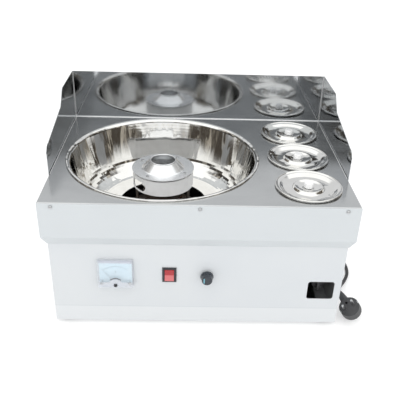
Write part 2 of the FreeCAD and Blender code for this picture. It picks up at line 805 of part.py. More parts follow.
def burner_ring():
    """Hollow ring with flame ports on top and a feed hole under it."""
    hollow = BURNER_TUBE_R - BURNER_WALL
    ring = bead(BOWL_X, BOWL_Y, BURNER_Z, BURNER_RING_R, BURNER_TUBE_R)
    ring = ring.cut(bead(BOWL_X, BOWL_Y, BURNER_Z, BURNER_RING_R, hollow))
    ports = []
    for x, y in about_bowl(BURNER_RING_R, range(20, 360, 20)):
        ports.append(post(x, y, BURNER_Z + 2, BURNER_Z + 9, 0.9))
    ports.append(post(*feed_place(), BURNER_Z - 9, BURNER_Z - 2, FEED_R))
    return ring.cut(Part.makeCompound(ports))


def gas_pipe():
    """Copper feed from the valve's outlet to the underside of the burner ring."""
    feed_x, feed_y = feed_place()
    run_x = 30.0
    rise = MOTOR_TOP + 20
    route = [(WINDOW_X - 14, VALVE_Y, WINDOW_Z), (run_x, VALVE_Y, WINDOW_Z), (run_x, feed_y, rise)]
    route += [(feed_x, feed_y, rise), (feed_x, feed_y, BURNER_Z - BURNER_TUBE_R + 1.0)]
    return bent_pipe(route, FEED_R, PIPE_BEND)


def gas_valve():
    """Valve block behind the window, its stem pointing to the front."""
    body = centred(WINDOW_X, VALVE_Y, WINDOW_Z, 28, 30, 24)
    neck = rod_y(WINDOW_X, WINDOW_Z, VALVE_Y - 27, VALVE_Y - 15, 7.5)
    union = Part.makeCylinder(7.0, 8, vec(WINDOW_X - 22, VALVE_Y, WINDOW_Z), X)
    bore = Part.makeCylinder(FEED_R, 9, vec(WINDOW_X - 23, VALVE_Y, WINDOW_Z), X)
    stem_hole = rod_y(WINDOW_X, WINDOW_Z, VALVE_Y - 28, VALVE_Y - 10, 3.0 + RUNNING_GAP)
    return body.fuse([neck, union]).cut(bore).cut(stem_hole)


def valve_bracket():
    """Foot, upright and shelf folded from one strip."""
    under = WINDOW_Z - 12
    left = WINDOW_X - 18
    front = VALVE_Y - 12
    rear = VALVE_Y + 12
    fold = 2.0
    foot = block(left, WINDOW_X + 4, front, rear, INSIDE_Z, INSIDE_Z + fold)
    upright = block(left, left + fold, front, rear, INSIDE_Z + fold, under)
    shelf = block(left, WINDOW_X + 12, front, rear, under - fold, under)
    return upright.fuse([shelf, foot])


def valve_knob():
    """Tap handle with its spindle; it turns a quarter turn."""
    grip_front = VALVE_Y - 44
    grip = rod_y(WINDOW_X, WINDOW_Z, grip_front, VALVE_Y - 29, 12.0)
    grip = rounded_edges(grip, 1.5, lambda e: e.CenterOfMass.y < grip_front + 1)
    bar = centred(WINDOW_X, VALVE_Y - 47, WINDOW_Z, 6, 8, 23)
    bar = rounded_edges(bar, 1.2, lambda e: along(e, Z))
    stem = rod_y(WINDOW_X, WINDOW_Z, VALVE_Y - 30, VALVE_Y - 12, 3.0)
    return grip.fuse([bar, stem])


def gas_inlet():
    """Hose stub through the rear panel, its jam nut, and the line from it to the valve."""
    stub = rod_y(GAS_X, GAS_Z, CASE_BACK - 18, CASE_BACK + HOSE_STUB_OUT, HOSE_STUB_R)
    nut = hexagon_y(GAS_X, GAS_Z, CASE_BACK, CASE_BACK + 4.5, 15.0)
    collar = rod_y(GAS_X, GAS_Z, CASE_BACK - SHEET - 5, CASE_BACK - SHEET, 8.0)
    through = rod_y(GAS_X, GAS_Z, CASE_BACK - 6, CASE_BACK + 4.5, 6.0)
    bore = rod_y(GAS_X, GAS_Z, CASE_BACK - 19, CASE_BACK + 20, HOSE_STUB_BORE_R)
    fitting = stub.fuse([nut, collar, through]).cut(bore)
    route = [(GAS_X, CASE_BACK - 18, GAS_Z), (GAS_X, 60.0, GAS_Z), (WINDOW_X, 30.0, GAS_Z + 5)]
    route += [(WINDOW_X, VALVE_Y + 40, WINDOW_Z), (WINDOW_X, VALVE_Y + 15, WINDOW_Z)]
    return [fitting, bent_pipe(route, FEED_R, LINE_BEND)]


# --- motor and bearings -------------------------------------------------------------------------
def motor_housing():
    can = post(BOWL_X, BOWL_Y, MOTOR_BOTTOM, MOTOR_TOP, MOTOR_R)
    can = rounded_edges(can, 2.0, is_round_and_large)
    boss = post(BOWL_X, BOWL_Y, MOTOR_TOP, MOTOR_TOP + 5, COUPLING_R)
    bore = post(BOWL_X, BOWL_Y, 60.0, MOTOR_TOP + 6, MOTOR_SHAFT_R + RUNNING_GAP)
    tags = [centred(BOWL_X + x, BOWL_Y, MOTOR_BOTTOM - 3, 5, 0.8, 6) for x in (-12.0, 12.0)]
    return can.fuse([boss] + tags).cut(bore)


def motor_shaft():
    return post(BOWL_X, BOWL_Y, 62.0, COUPLING_MID, MOTOR_SHAFT_R)


def motor_bracket():
    """Bridge over the base that the motor hangs under."""
    fold = 3.0
    deep = 60.0
    half_w = 46.0
    foot_w = 21.0
    top = MOTOR_TOP
    bridge = centred(BOWL_X, BOWL_Y, top + fold / 2, 2 * half_w, deep, fold)
    bridge = bridge.cut(post(BOWL_X, BOWL_Y, top - 1, top + 6, COUPLING_R + 0.2))
    for x, y in about_bowl(MOTOR_SCREW_RING_R, MOTOR_SCREW_ANGLES):
        bridge = bridge.cut(post(x, y, top - 1, top + 5, 2.1))
    sides = []
    for side in (-1, 1):
        x = BOWL_X + side * (half_w - fold / 2)
        sides.append(centred(x, BOWL_Y, (INSIDE_Z + top) / 2, fold, deep, top - INSIDE_Z))
        sides.append(centred(x + side * 9, BOWL_Y, INSIDE_Z + fold / 2, foot_w, deep, fold))
    return bridge.fuse(sides)


def motor_screws():
    places = about_bowl(MOTOR_SCREW_RING_R, MOTOR_SCREW_ANGLES)
    return [pan_screw(vec(x, y, MOTOR_TOP + 3), Z, MOTOR_SCREW) for x, y in places]


def shaft_coupling():
    low = COUPLING_MID - COUPLING_HALF
    high = COUPLING_MID + COUPLING_HALF
    sleeve = post(BOWL_X, BOWL_Y, low, high, COUPLING_R)
    lower = post(BOWL_X, BOWL_Y, low - 1, COUPLING_MID, MOTOR_SHAFT_R)
    upper = post(BOWL_X, BOWL_Y, COUPLING_MID, high + 1, SHAFT_R)
    grub = Part.makeCylinder(2.0, 7, vec(BOWL_X + 3, BOWL_Y, COUPLING_MID + COUPLING_HALF / 2), X)
    return sleeve.cut(lower).cut(upper).cut(grub.cut(upper))


def bearing_housing():
    low = PLATE_Z + PLATE_T
    flange = post(BOWL_X, BOWL_Y, low, low + 2.5, 20.0)
    cup = post(BOWL_X, BOWL_Y, low, BEARING_Z + 7.5, BEARING_R + 3)
    seat = post(BOWL_X, BOWL_Y, BEARING_Z, BEARING_Z + 8.5, BEARING_R)
    clear = post(BOWL_X, BOWL_Y, low - 1, low + 3, 7.0)
    return flange.fuse(cup).cut(seat).cut(clear)


def bearing_outer():
    """Outer race and its eight balls."""
    ball_r = 1.4
    ball_ring_r = 7.55
    race = tube_z(BOWL_X, BOWL_Y, BEARING_Z, BEARING_Z + BEARING_H, BEARING_R, BEARING_OUTER_IN_R)
    middle = BEARING_Z + BEARING_H / 2
    places = about_bowl(ball_ring_r, range(0, 360, 45))
    return [race] + [Part.makeSphere(ball_r, vec(x, y, middle)) for x, y in places]


def bearing_inner():
    return tube_z(BOWL_X, BOWL_Y, BEARING_Z, BEARING_Z + BEARING_H, BEARING_INNER_OUT_R, SHAFT_R)


# --- front panel fittings -----------------------------------------------------------------------
def meter_screw_places():
    return [(METER_X + x, METER_Z - METER_SCREW_DOWN) for x in (-METER_SCREW_X, METER_SCREW_X)]


def meter_housing():
    can_deep = 34.0
    stud_end = CASE_FRONT + can_deep + 10
    flange = centred(METER_X, CASE_FRONT - METER_FLANGE / 2, METER_Z, METER_W - 1, METER_FLANGE, METER_H - 1)
    can = rod_y(METER_X, METER_Z, CASE_FRONT, CASE_FRONT + can_deep, METER_CAN_R)
    studs = [rod_y(METER_X + x, METER_Z, CASE_FRONT + can_deep, stud_end, 2.0) for x in (-12, 12)]
    return flange.fuse([can] + studs)


def meter_dial():
    return centred(METER_X, CASE_FRONT - METER_FLANGE - 0.4, METER_Z + 2, 58, 0.8, 48)


def cover_holes(y0, y1):
    """Cutters for the zero screw and the two cover screws."""
    cuts = [rod_y(METER_X, ZERO_Z, y0, y1, ZERO_R + 0.3)]
    cuts += [rod_y(x, z, y0, y1, 1.6) for x, z in meter_screw_places()]
    return Part.makeCompound(cuts)


def meter_cover():
    """Clear front case of the meter."""
    front = CASE_FRONT - METER_OUT
    wall = 1.4
    depth = METER_OUT - METER_FLANGE
    half_w = METER_W / 2 - 1.8
    half_h = METER_H / 2 - 1.8
    outer = centred(METER_X, front + depth / 2, METER_Z, METER_W, depth, METER_H)
    outer = rounded_edges(outer, 1.5, lambda e: e.CenterOfMass.y < front + 1 or along(e, Y))
    hollow = block(
        METER_X - half_w, METER_X + half_w, front + wall, CASE_FRONT - 2, METER_Z - half_h, METER_Z + half_h
    )
    return outer.cut(hollow).cut(cover_holes(front - 8, front + 4))


def meter_mask():
    """Opaque band behind the lower front of the cover, arched over the needle's pivot."""
    thick = 0.8
    arch_r = 13.0
    y0 = CASE_FRONT - METER_OUT + 1.5
    band = block(METER_X - 30, METER_X + 30, y0, y0 + thick, METER_Z - 26, METER_Z - 16)
    arch = rod_y(METER_X, NEEDLE_Z - 3, y0, y0 + thick, arch_r)
    band = band.fuse(arch.common(centred(METER_X, y0, METER_Z, 60, 6, 51)))
    return band.cut(cover_holes(y0 - 2, y0 + 3))


def meter_screws():
    front = CASE_FRONT - METER_OUT
    return [pan_screw(vec(x, front, z), Y.negative(), METER_SCREW) for x, z in meter_screw_places()]


def meter_needle():
    """Pointer with hub and balance tail, at the left end of its scale."""
    y = CASE_FRONT - 6.4
    hub = rod_y(METER_X, NEEDLE_Z, y - 1.2, y + 1.2, 3.2)
    blade = [(-0.9, 0), (-0.35, NEEDLE_LENGTH), (0.35, NEEDLE_LENGTH), (0.9, 0), (1.6, -5), (-1.6, -5)]
    pointer = prism_y([(METER_X + x, NEEDLE_Z + z) for x, z in blade], y - 0.4, y + 0.4)
    needle = hub.fuse(pointer)
    needle.rotate(vec(METER_X, 0, NEEDLE_Z), Y, NEEDLE_REST)
    return needle


def zero_screw():
    """Slotted plug in the cover that trims the needle's zero."""
    front = CASE_FRONT - METER_OUT
    body = rod_y(METER_X, ZERO_Z, front - 0.6, front + 2.8, ZERO_R)
    return body.cut(centred(METER_X, front, ZERO_Z, 7, 2.4, 0.9))


def switch_body():
    """Rocker switch: bezel outside the panel, body and terminals behind it."""
    bezel_out = 2.5
    body_deep = 22.0
    bezel_y = CASE_FRONT - bezel_out / 2
    bezel = centred(SWITCH_X, bezel_y, SWITCH_Z, SWITCH_BEZEL_W, bezel_out, SWITCH_BEZEL_H)
    bezel = rounded_edges(bezel, 1.1, lambda e: e.CenterOfMass.y < CASE_FRONT - 2)
    body = centred(SWITCH_X, CASE_FRONT + body_deep / 2, SWITCH_Z, SWITCH_BODY_W, body_deep, SWITCH_BODY_H)
    tags = []
    for x in (-5.5, 5.5):
        for z in (-8.0, 8.0):
            tags.append(centred(SWITCH_X + x, CASE_FRONT + body_deep + 4, SWITCH_Z + z, 0.8, 8, 6.3))
    whole = bezel.fuse([body] + tags)
    return whole.cut(centred(SWITCH_X, CASE_FRONT + 3, SWITCH_Z, 17.3, 18, 24.4))


def switch_rocker():
    """Rocker pressed in at its top; the lower half stands out."""
    half_w = 8.25
    half_h = 11.0
    side = [(-2.2, 0), (-4.9, half_h), (3.0, half_h), (5.5, 0), (3.0, -half_h), (-4.9, -half_h)]
    outline = [(CASE_FRONT + y, SWITCH_Z + z) for y, z in side]
    rocker = prism_x(outline, SWITCH_X - half_w, SWITCH_X + half_w)
    rocker = rounded_edges(rocker, 0.6, lambda e: e.CenterOfMass.y < CASE_FRONT - 4 and along(e, X))
    rocker.rotate(vec(SWITCH_X, CASE_FRONT - 0.5, SWITCH_Z), X, -SWITCH_TILT)
    return rocker


def speed_control():
    """Potentiometer behind the panel, with its threaded neck and terminals."""
    can = rod_y(KNOB_X, KNOB_Z, CASE_FRONT + SHEET, CASE_FRONT + 12, 12.0)
    neck = rod_y(KNOB_X, KNOB_Z, CASE_FRONT - 4.5, CASE_FRONT + SHEET, KNOB_NECK_R)
    bore = rod_y(KNOB_X, KNOB_Z, CASE_FRONT - 6, CASE_FRONT + 9, KNOB_SPINDLE_R + RUNNING_GAP)
    tags = [centred(KNOB_X + 5 * i, CASE_FRONT + 6, KNOB_Z - 15, 2, 1, 8) for i in (-1, 0, 1)]
    return can.fuse([neck] + tags).cut(bore)


def speed_nut():
    washer = rod_y(KNOB_X, KNOB_Z, CASE_FRONT - 0.8, CASE_FRONT, 7.5)
    nut = hexagon_y(KNOB_X, KNOB_Z, CASE_FRONT - 3.3, CASE_FRONT - 0.8, 11.0)
    thread = front_hole(KNOB_X, KNOB_Z, KNOB_NECK_R)
    thread = thread.fuse(rod_y(KNOB_X, KNOB_Z, CASE_FRONT - 9, CASE_FRONT, KNOB_NECK_R))
    return [washer.cut(thread), nut.cut(thread)]


def speed_knob():
    """Fluted knob with a skirt, and the spindle it turns."""
    back = CASE_FRONT - 4.8
    front = CASE_FRONT - 17.8
    skirt_deep = 4.0
    flute_r = 1.3
    skirt = Part.makeCone(10.6, 12.0, skirt_deep, vec(KNOB_X, back - skirt_deep, KNOB_Z), Y)
    grip = Part.makeCone(9.2, 10.2, back - skirt_deep - front, vec(KNOB_X, front, KNOB_Z), Y)
    grip = rounded_edges(grip, 1.2, lambda e: e.CenterOfMass.y < front + 0.1 and e.Length > 20)
    places = around(KNOB_X, KNOB_Z, 10.9, range(15, 375, 30))
    flutes = [rod_y(x, z, front - 1, back - 5.5, flute_r) for x, z in places]
    grip = grip.cut(Part.makeCompound(flutes))
    marker = centred(KNOB_X, front + 0.1, KNOB_Z + 5.5, 1.2, 0.8, 5.5)
    spindle = rod_y(KNOB_X, KNOB_Z, back - 0.5, CASE_FRONT + 8, KNOB_SPINDLE_R)
    knob = skirt.fuse([grip, spindle]).cut(marker)
    knob.rotate(vec(KNOB_X, 0, KNOB_Z), Y, KNOB_REST)
    return knob


# --- electrics inside ---------------------------------------------------------------------------
def supply_box():
    """Mains supply and speed control board in a folded steel tray."""
    x0, x1 = SUPPLY_X
    y0, y1 = SUPPLY_Y
    low = INSIDE_Z
    board_z = low + 7
    board_top = board_z + 1.6
    tray = block(x0, x1, y0, y1, low, low + SUPPLY_H)
    tray = tray.cut(block(x0 + 1, x1 - 1, y0 + 1, y1 - 1, low + 1, low + SUPPLY_H + 6))
    board = block(x0 + 6, x1 - 6, y0 + 6, y1 - 6, board_z, board_top)
    standoffs = [post(x, y, low + 1, board_z, 3) for x in (x0 + 10, x1 - 10) for y in (y0 + 10, y1 - 10)]
    core = block(x0 + 14, x0 + 54, y0 + 20, y0 + 60, board_top, low + 32)
    sink = block(x1 - 40, x1 - 20, y0 + 14, y0 + 76, board_top, low + 30)
    return [tray, board] + standoffs + [core, sink]


def terminal_block():
    x0, x1 = TERMINAL_X
    y0, y1 = TERMINAL_Y
    high = 16.0
    pitch = 9.3
    body = block(x0, x1, y0, y1, INSIDE_Z, INSIDE_Z + high)
    wells = [
        post(x0 + 6 + pitch * i, (y0 + y1) / 2, INSIDE_Z + high / 2, INSIDE_Z + high + PAST, 2.6)
        for i in range(4)
    ]
    return body.cut(Part.makeCompound(wells))


# --- mains lead ---------------------------------------------------------------------------------
def cord_gland():
    """Bushing clamped in the rear panel."""
    x, _, z = CORD_EXIT
    rim_r = 10.5
    outer_face = CASE_BACK + GLAND_OUT
    inside = rod_y(x, z, CASE_BACK - SHEET - 5, CASE_BACK - SHEET, rim_r)
    through = rod_y(x, z, CASE_BACK - SHEET, CASE_BACK, 8.0)
    outside = rod_y(x, z, CASE_BACK, outer_face, rim_r)
    outside = rounded_edges(outside, 1.0, lambda e: e.CenterOfMass.y > outer_face - 0.5)
    return inside.fuse([through, outside])


def strain_relief():
    """Tapered sleeve with five flex grooves."""
    x, end, z = CORD_EXIT
    start = CASE_BACK + GLAND_OUT
    groove_w = 1.6
    pitch = 4.4
    sleeve = Part.makeCone(7.0, 4.7, end - start, vec(x, start, z), Y)
    for i in range(5):
        y = start + 6 + pitch * i
        groove = rod_y(x, z, y, y + groove_w, 9).cut(rod_y(x, z, y - 1, y + groove_w + 1, 4.3))
        sleeve = sleeve.cut(groove)
    return sleeve


def plug_axes():
    """Side, boot and face directions of the plug; the boot's is square to the face."""
    face = vec(*PLUG_FACE)
    face.normalize()
    toward = vec(*PLUG_TO_CORD)
    boot = toward.sub(face * toward.dot(face))
    boot.normalize()
    return boot.cross(face), boot, face


def mains_cord():
    """The lead's two free stretches: from the gland to the coil, and from the coil to the plug."""
    end = vec(*PLUG_CENTRE).add(plug_axes()[1] * BOOT_REACH)
    solids = []
    for name, route in (("rear", CORD_REAR), ("side", CORD_SIDE + [tuple(end)])):
        solid, length, radii = limp_tube(route, CORD_R)
        expected = math.pi * CORD_R**2 * length
        print("cord", name, "length", round(length, 1), "volume ratio", round(solid.Volume / expected, 4))
        print("  radii", [round(r) for r in radii])
        solids.append(solid)
    return solids


def cord_coil():
    """Outer shape of the wound lead: two turns wide and two high."""
    inner = COIL_MEAN_R - 2 * CORD_R
    outer = COIL_MEAN_R + 2 * CORD_R
    ring = tube_z(COIL_X, COIL_Y, 0, 4 * CORD_R, outer, inner)
    return rounded_edges(ring, CORD_R * 0.9, is_round_and_large)


def placed(solid):
    """Moves a solid from the plug's own axes, Z the way the pins point and Y the way the boot leaves."""
    side, boot, face = plug_axes()
    x, y, z = PLUG_CENTRE
    matrix = FreeCAD.Matrix(
        side.x, boot.x, face.x, x, side.y, boot.y, face.y, y, side.z, boot.z, face.z, z, 0, 0, 0, 1
    )
    solid.Placement = FreeCAD.Placement(matrix).multiply(solid.Placement)
    return solid


def plug_body():
    """Round plug with a tapered boot, slots for the side contacts and an earth socket."""
    half = PLUG_DEPTH / 2
    boot_z = -2.0
    disc = Part.makeCylinder(PLUG_R, PLUG_DEPTH, vec(0, 0, -half), Z)
    disc = rounded_edges(disc, 2.5, lambda e: e.CenterOfMass.z < 0 and is_round_and_large(e))
    shoulder = Part.makeCone(9.5, 6.4, 24, vec(0, 12, boot_z), Y)
    boot = Part.makeCone(6.4, 4.9, BOOT_REACH - 36, vec(0, 36, boot_z), Y)
    for side in (-1, 1):
        disc = disc.cut(centred(side * 19.0, 0, 2.5, 3.2, 6.4, 16.2))
    disc = disc.cut(post(0, 10.0, half - 12, half + 2, 2.6))
    return placed(disc.fuse([shoulder, boot]))


def plug_pins():
    """Two round pins, side by side across the boot's line."""
    half = PLUG_DEPTH / 2
    tip = half + PLUG_PIN_L
    pins = []
    for x in (-PLUG_PIN_X, PLUG_PIN_X):
        pin = post(x, 0, half, tip, PLUG_PIN_R)
        pins.append(placed(rounded_edges(pin, 1.6, lambda e: e.CenterOfMass.z > tip - 1)))
    return pins


def plug_earth():
    """Earth contacts in the plug's two side slots."""
    return [placed(centred(side * 18.0, 0, 2.4, 1.0, 5.6, 15.6)) for side in (-1, 1)]


# --- output -------------------------------------------------------------------------------------
NODES = {
    "top_tray": top_tray,
    "tray_brackets": tray_brackets,
    "case_screws": lambda: tray_screws() + base_screws(),
    "lower_case": lower_case,
    "base_plate": base_plate,
    "rubber_feet": rubber_feet,
    "splash_guard": splash_guard,
    "guard_rivets": guard_rivets,
    "bowl": bowl,
    "spinner_dish": spinner_dish,
    "spinner_cover": spinner_cover,
    "spinner_fasteners": lambda: spinner_spacers() + spinner_screws() + spinner_nut(),
    "drive_shaft": drive_shaft,
    "motor_shaft": motor_shaft,
    "shaft_coupling": shaft_coupling,
    "bearing_inner": bearing_inner,
    "bearing_outer": bearing_outer,
    "bearing_housing": bearing_housing,
    "flame_guard": flame_guard,
    "guard_legs": guard_legs,
    "burner_plate": burner_plate,
    "plate_pillars": plate_pillars,
    "burner_ring": burner_ring,
    "gas_pipe": gas_pipe,
    "gas_valve": gas_valve,
    "valve_bracket": valve_bracket,
    "valve_knob": valve_knob,
    "gas_inlet": gas_inlet,
    "motor_housing": motor_housing,
    "motor_bracket": motor_bracket,
    "motor_screws": motor_screws,
    "meter_housing": meter_housing,
    "meter_dial": meter_dial,
    "meter_needle": meter_needle,
    "meter_mask": meter_mask,
    "meter_cover": meter_cover,
    "meter_screws": meter_screws,
    "zero_screw": zero_screw,
    "switch_body": switch_body,
    "switch_rocker": switch_rocker,
    "speed_control": speed_control,
    "speed_nut": speed_nut,
    "speed_knob": speed_knob,
    "supply_box": supply_box,
    "terminal_block": terminal_block,
    "cord_gland": cord_gland,
    "strain_relief": strain_relief,
    "mains_cord": mains_cord,
    "cord_coil": cord_coil,
    "plug_body": plug_body,
    "plug_contacts": lambda: plug_pins() + plug_earth(),
}


def build():
    for name, make in NODES.items():
        save(name, make())
    for number, y in enumerate(pot_places(), 1):
        save(f"sugar_pot_{number}", sugar_pot(y))
        save(f"pot_lid_{number}", pot_lid(y))
        save(f"lid_knob_{number}", lid_knob(y))


build()
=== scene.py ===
"""Looks of the tabletop candy floss machine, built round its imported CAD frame.

Metres, +Z up, the front panel faces -Y.
"""

import json
import math

import bmesh
import bpy
from mathutils import Matrix, Vector


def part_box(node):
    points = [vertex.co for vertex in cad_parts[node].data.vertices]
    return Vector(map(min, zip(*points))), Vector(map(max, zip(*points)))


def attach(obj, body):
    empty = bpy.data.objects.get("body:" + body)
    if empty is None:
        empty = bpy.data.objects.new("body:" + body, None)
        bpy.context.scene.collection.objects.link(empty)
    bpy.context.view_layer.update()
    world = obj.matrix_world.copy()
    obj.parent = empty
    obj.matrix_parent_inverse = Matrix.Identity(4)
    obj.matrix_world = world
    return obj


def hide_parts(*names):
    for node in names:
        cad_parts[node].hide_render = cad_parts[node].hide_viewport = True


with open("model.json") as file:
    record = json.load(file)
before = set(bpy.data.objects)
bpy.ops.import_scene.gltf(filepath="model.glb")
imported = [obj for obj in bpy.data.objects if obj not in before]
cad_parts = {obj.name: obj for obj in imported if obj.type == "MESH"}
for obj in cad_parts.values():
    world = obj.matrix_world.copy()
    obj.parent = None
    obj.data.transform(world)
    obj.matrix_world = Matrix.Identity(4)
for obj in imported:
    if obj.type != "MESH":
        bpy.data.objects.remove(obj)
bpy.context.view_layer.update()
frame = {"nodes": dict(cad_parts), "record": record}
NODES = frame["nodes"]
MM = 0.001


# --- camera -------------------------------------------------------------------------------------
CAMERA_PLACE = (-0.0252, -1.0300, 0.7463)
CAMERA_YAW = 1.668
CAMERA_PITCH = 29.425
CAMERA_ROLL = 1.791
CAMERA_LENS = 52.17


def make_camera():
    data = bpy.data.cameras.new("camera")
    data.lens = CAMERA_LENS
    data.sensor_width = 36.0
    data.clip_start = 0.05
    camera = bpy.data.objects.new("camera", data)
    bpy.context.scene.collection.objects.link(camera)
    turn = Matrix.Rotation(math.radians(-CAMERA_YAW), 4, "Z")
    tilt = Matrix.Rotation(math.radians(90 - CAMERA_PITCH), 4, "X")
    roll = Matrix.Rotation(math.radians(CAMERA_ROLL), 4, "Z")
    camera.matrix_world = Matrix.Translation(CAMERA_PLACE) @ turn @ tilt @ roll
    bpy.context.scene.camera = camera


# --- the mains lead, in millimetres as in the CAD source ------------------------------------------
CORD_RADIUS = 3.5
CORD_REAR = [
    (215.0, 218.5, 30.0),
    (215.0, 242.0, 29.0),
    (211.0, 262.0, 22.5),
    (199.0, 279.0, 13.0),
    (182.0, 289.5, 6.0),
    (164.0, 293.6, 3.6),
    (147.0, 294.2, 3.5),
]
CORD_SIDE = [
    (152.0, 210.0, 10.5),
    (180.0, 209.0, 8.0),
    (212.0, 211.5, 4.2),
    (246.0, 209.0, 3.5),
    (276.0, 195.0, 3.5),
    (297.0, 168.0, 3.5),
    (309.0, 130.0, 3.5),
    (315.0, 88.0, 3.5),
    (323.0, 46.0, 3.5),
    (329.5, 8.0, 3.5),
    (327.0, -24.0, 3.5),
    (313.0, -53.0, 5.0),
    (298.0, -78.0, 11.5),
    (288.0, -101.0, 20.5),
]
COIL_MIDDLE = (150.0, 252.0)
COIL_OUTER = 42.0
COIL_INNER = 35.0
COIL_LOW = CORD_RADIUS
COIL_HIGH = 3 * CORD_RADIUS
COIL_TURNS = 3.5
COIL_STEPS = 20
PLUG_CENTRE = Vector((297.0, -163.0, 21.5))
PLUG_FACE = Vector((-0.457, -0.375, 0.806)).normalized()
PLUG_TO_CORD = Vector((-0.33, 0.93, 0.2))
BOOT_REACH = 43.0


def plug_axis():
    """Direction in which the lead leaves the plug, square to the plug's face."""
    return (PLUG_TO_CORD - PLUG_FACE * PLUG_TO_CORD.dot(PLUG_FACE)).normalized()


def eased(turn, start, end):
    """How far a crossing between two turns has come, from 0 to 1."""
    return min(1.0, max(0.0, (turn - start) / (end - start)))


def coil_point(turn):
    """Outer turn and inner turn on the floor, then inner turn and outer turn on top of them."""
    inward = 1 - math.cos(eased(turn, 0.80, 0.97) * math.pi / 2)
    outward = eased(turn, 2.58, 2.78)
    climb = math.sin(eased(turn, 1.80, 1.97) * math.pi / 2)
    radius = COIL_OUTER + (COIL_INNER - COIL_OUTER) * (inward - outward)
    radius = radius / math.cos(math.pi / COIL_STEPS) ** 0.5
    angle = math.pi / 2 + 2 * math.pi * turn
    height = COIL_LOW + (COIL_HIGH - COIL_LOW) * climb
    return (COIL_MIDDLE[0] + radius * math.cos(angle), COIL_MIDDLE[1] + radius * math.sin(angle), height)


def cord_route():
    coil = [coil_point(step / COIL_STEPS) for step in range(1, int(COIL_TURNS * COIL_STEPS))]
    boot_end = PLUG_CENTRE + plug_axis() * BOOT_REACH
    return [Vector(p) * MM for p in CORD_REAR + coil + CORD_SIDE + [tuple(boot_end)]]


def make_cord():
    """One open curve; each point's radius is the lead's, and the bevel depth of 1 leaves it so."""
    curve = bpy.data.curves.new("mains_lead", "CURVE")
    curve.dimensions = "3D"
    spline = curve.splines.new("NURBS")
    route = cord_route()
    spline.points.add(len(route) - 1)
    for point, place in zip(spline.points, route):
        point.co = (*place, 1.0)
        point.radius = CORD_RADIUS * MM
    spline.order_u = 3
    spline.use_endpoint_u = True
    spline.resolution_u = 12
    curve.bevel_depth = 1.0
    curve.bevel_resolution = 6
    lead = bpy.data.objects.new("mains_lead", curve)
    bpy.context.scene.collection.objects.link(lead)
    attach(lead, "cabinet")
    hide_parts("mains_cord", "cord_coil")
    return lead


# --- materials ----------------------------------------------------------------------------------
KNOB_MIDDLE = (0.016, 0.1145)
# How far left of the knob's middle its painted blue highlight sits.
HIGHLIGHT_ASIDE = 0.0052
FOLD_Z = 0.042
DIAL_BAND_Z = (0.1400, 0.1412)
# Height of the rocker's fold, below which its red is painted lighter as a highlight.
ROCKER_FOLD_Z = (0.1162, 0.1142)
# Depths into the case's skin over which the painted shade of its inner faces fades in.
INNER_SKIN = (0.0008, 0.0004)


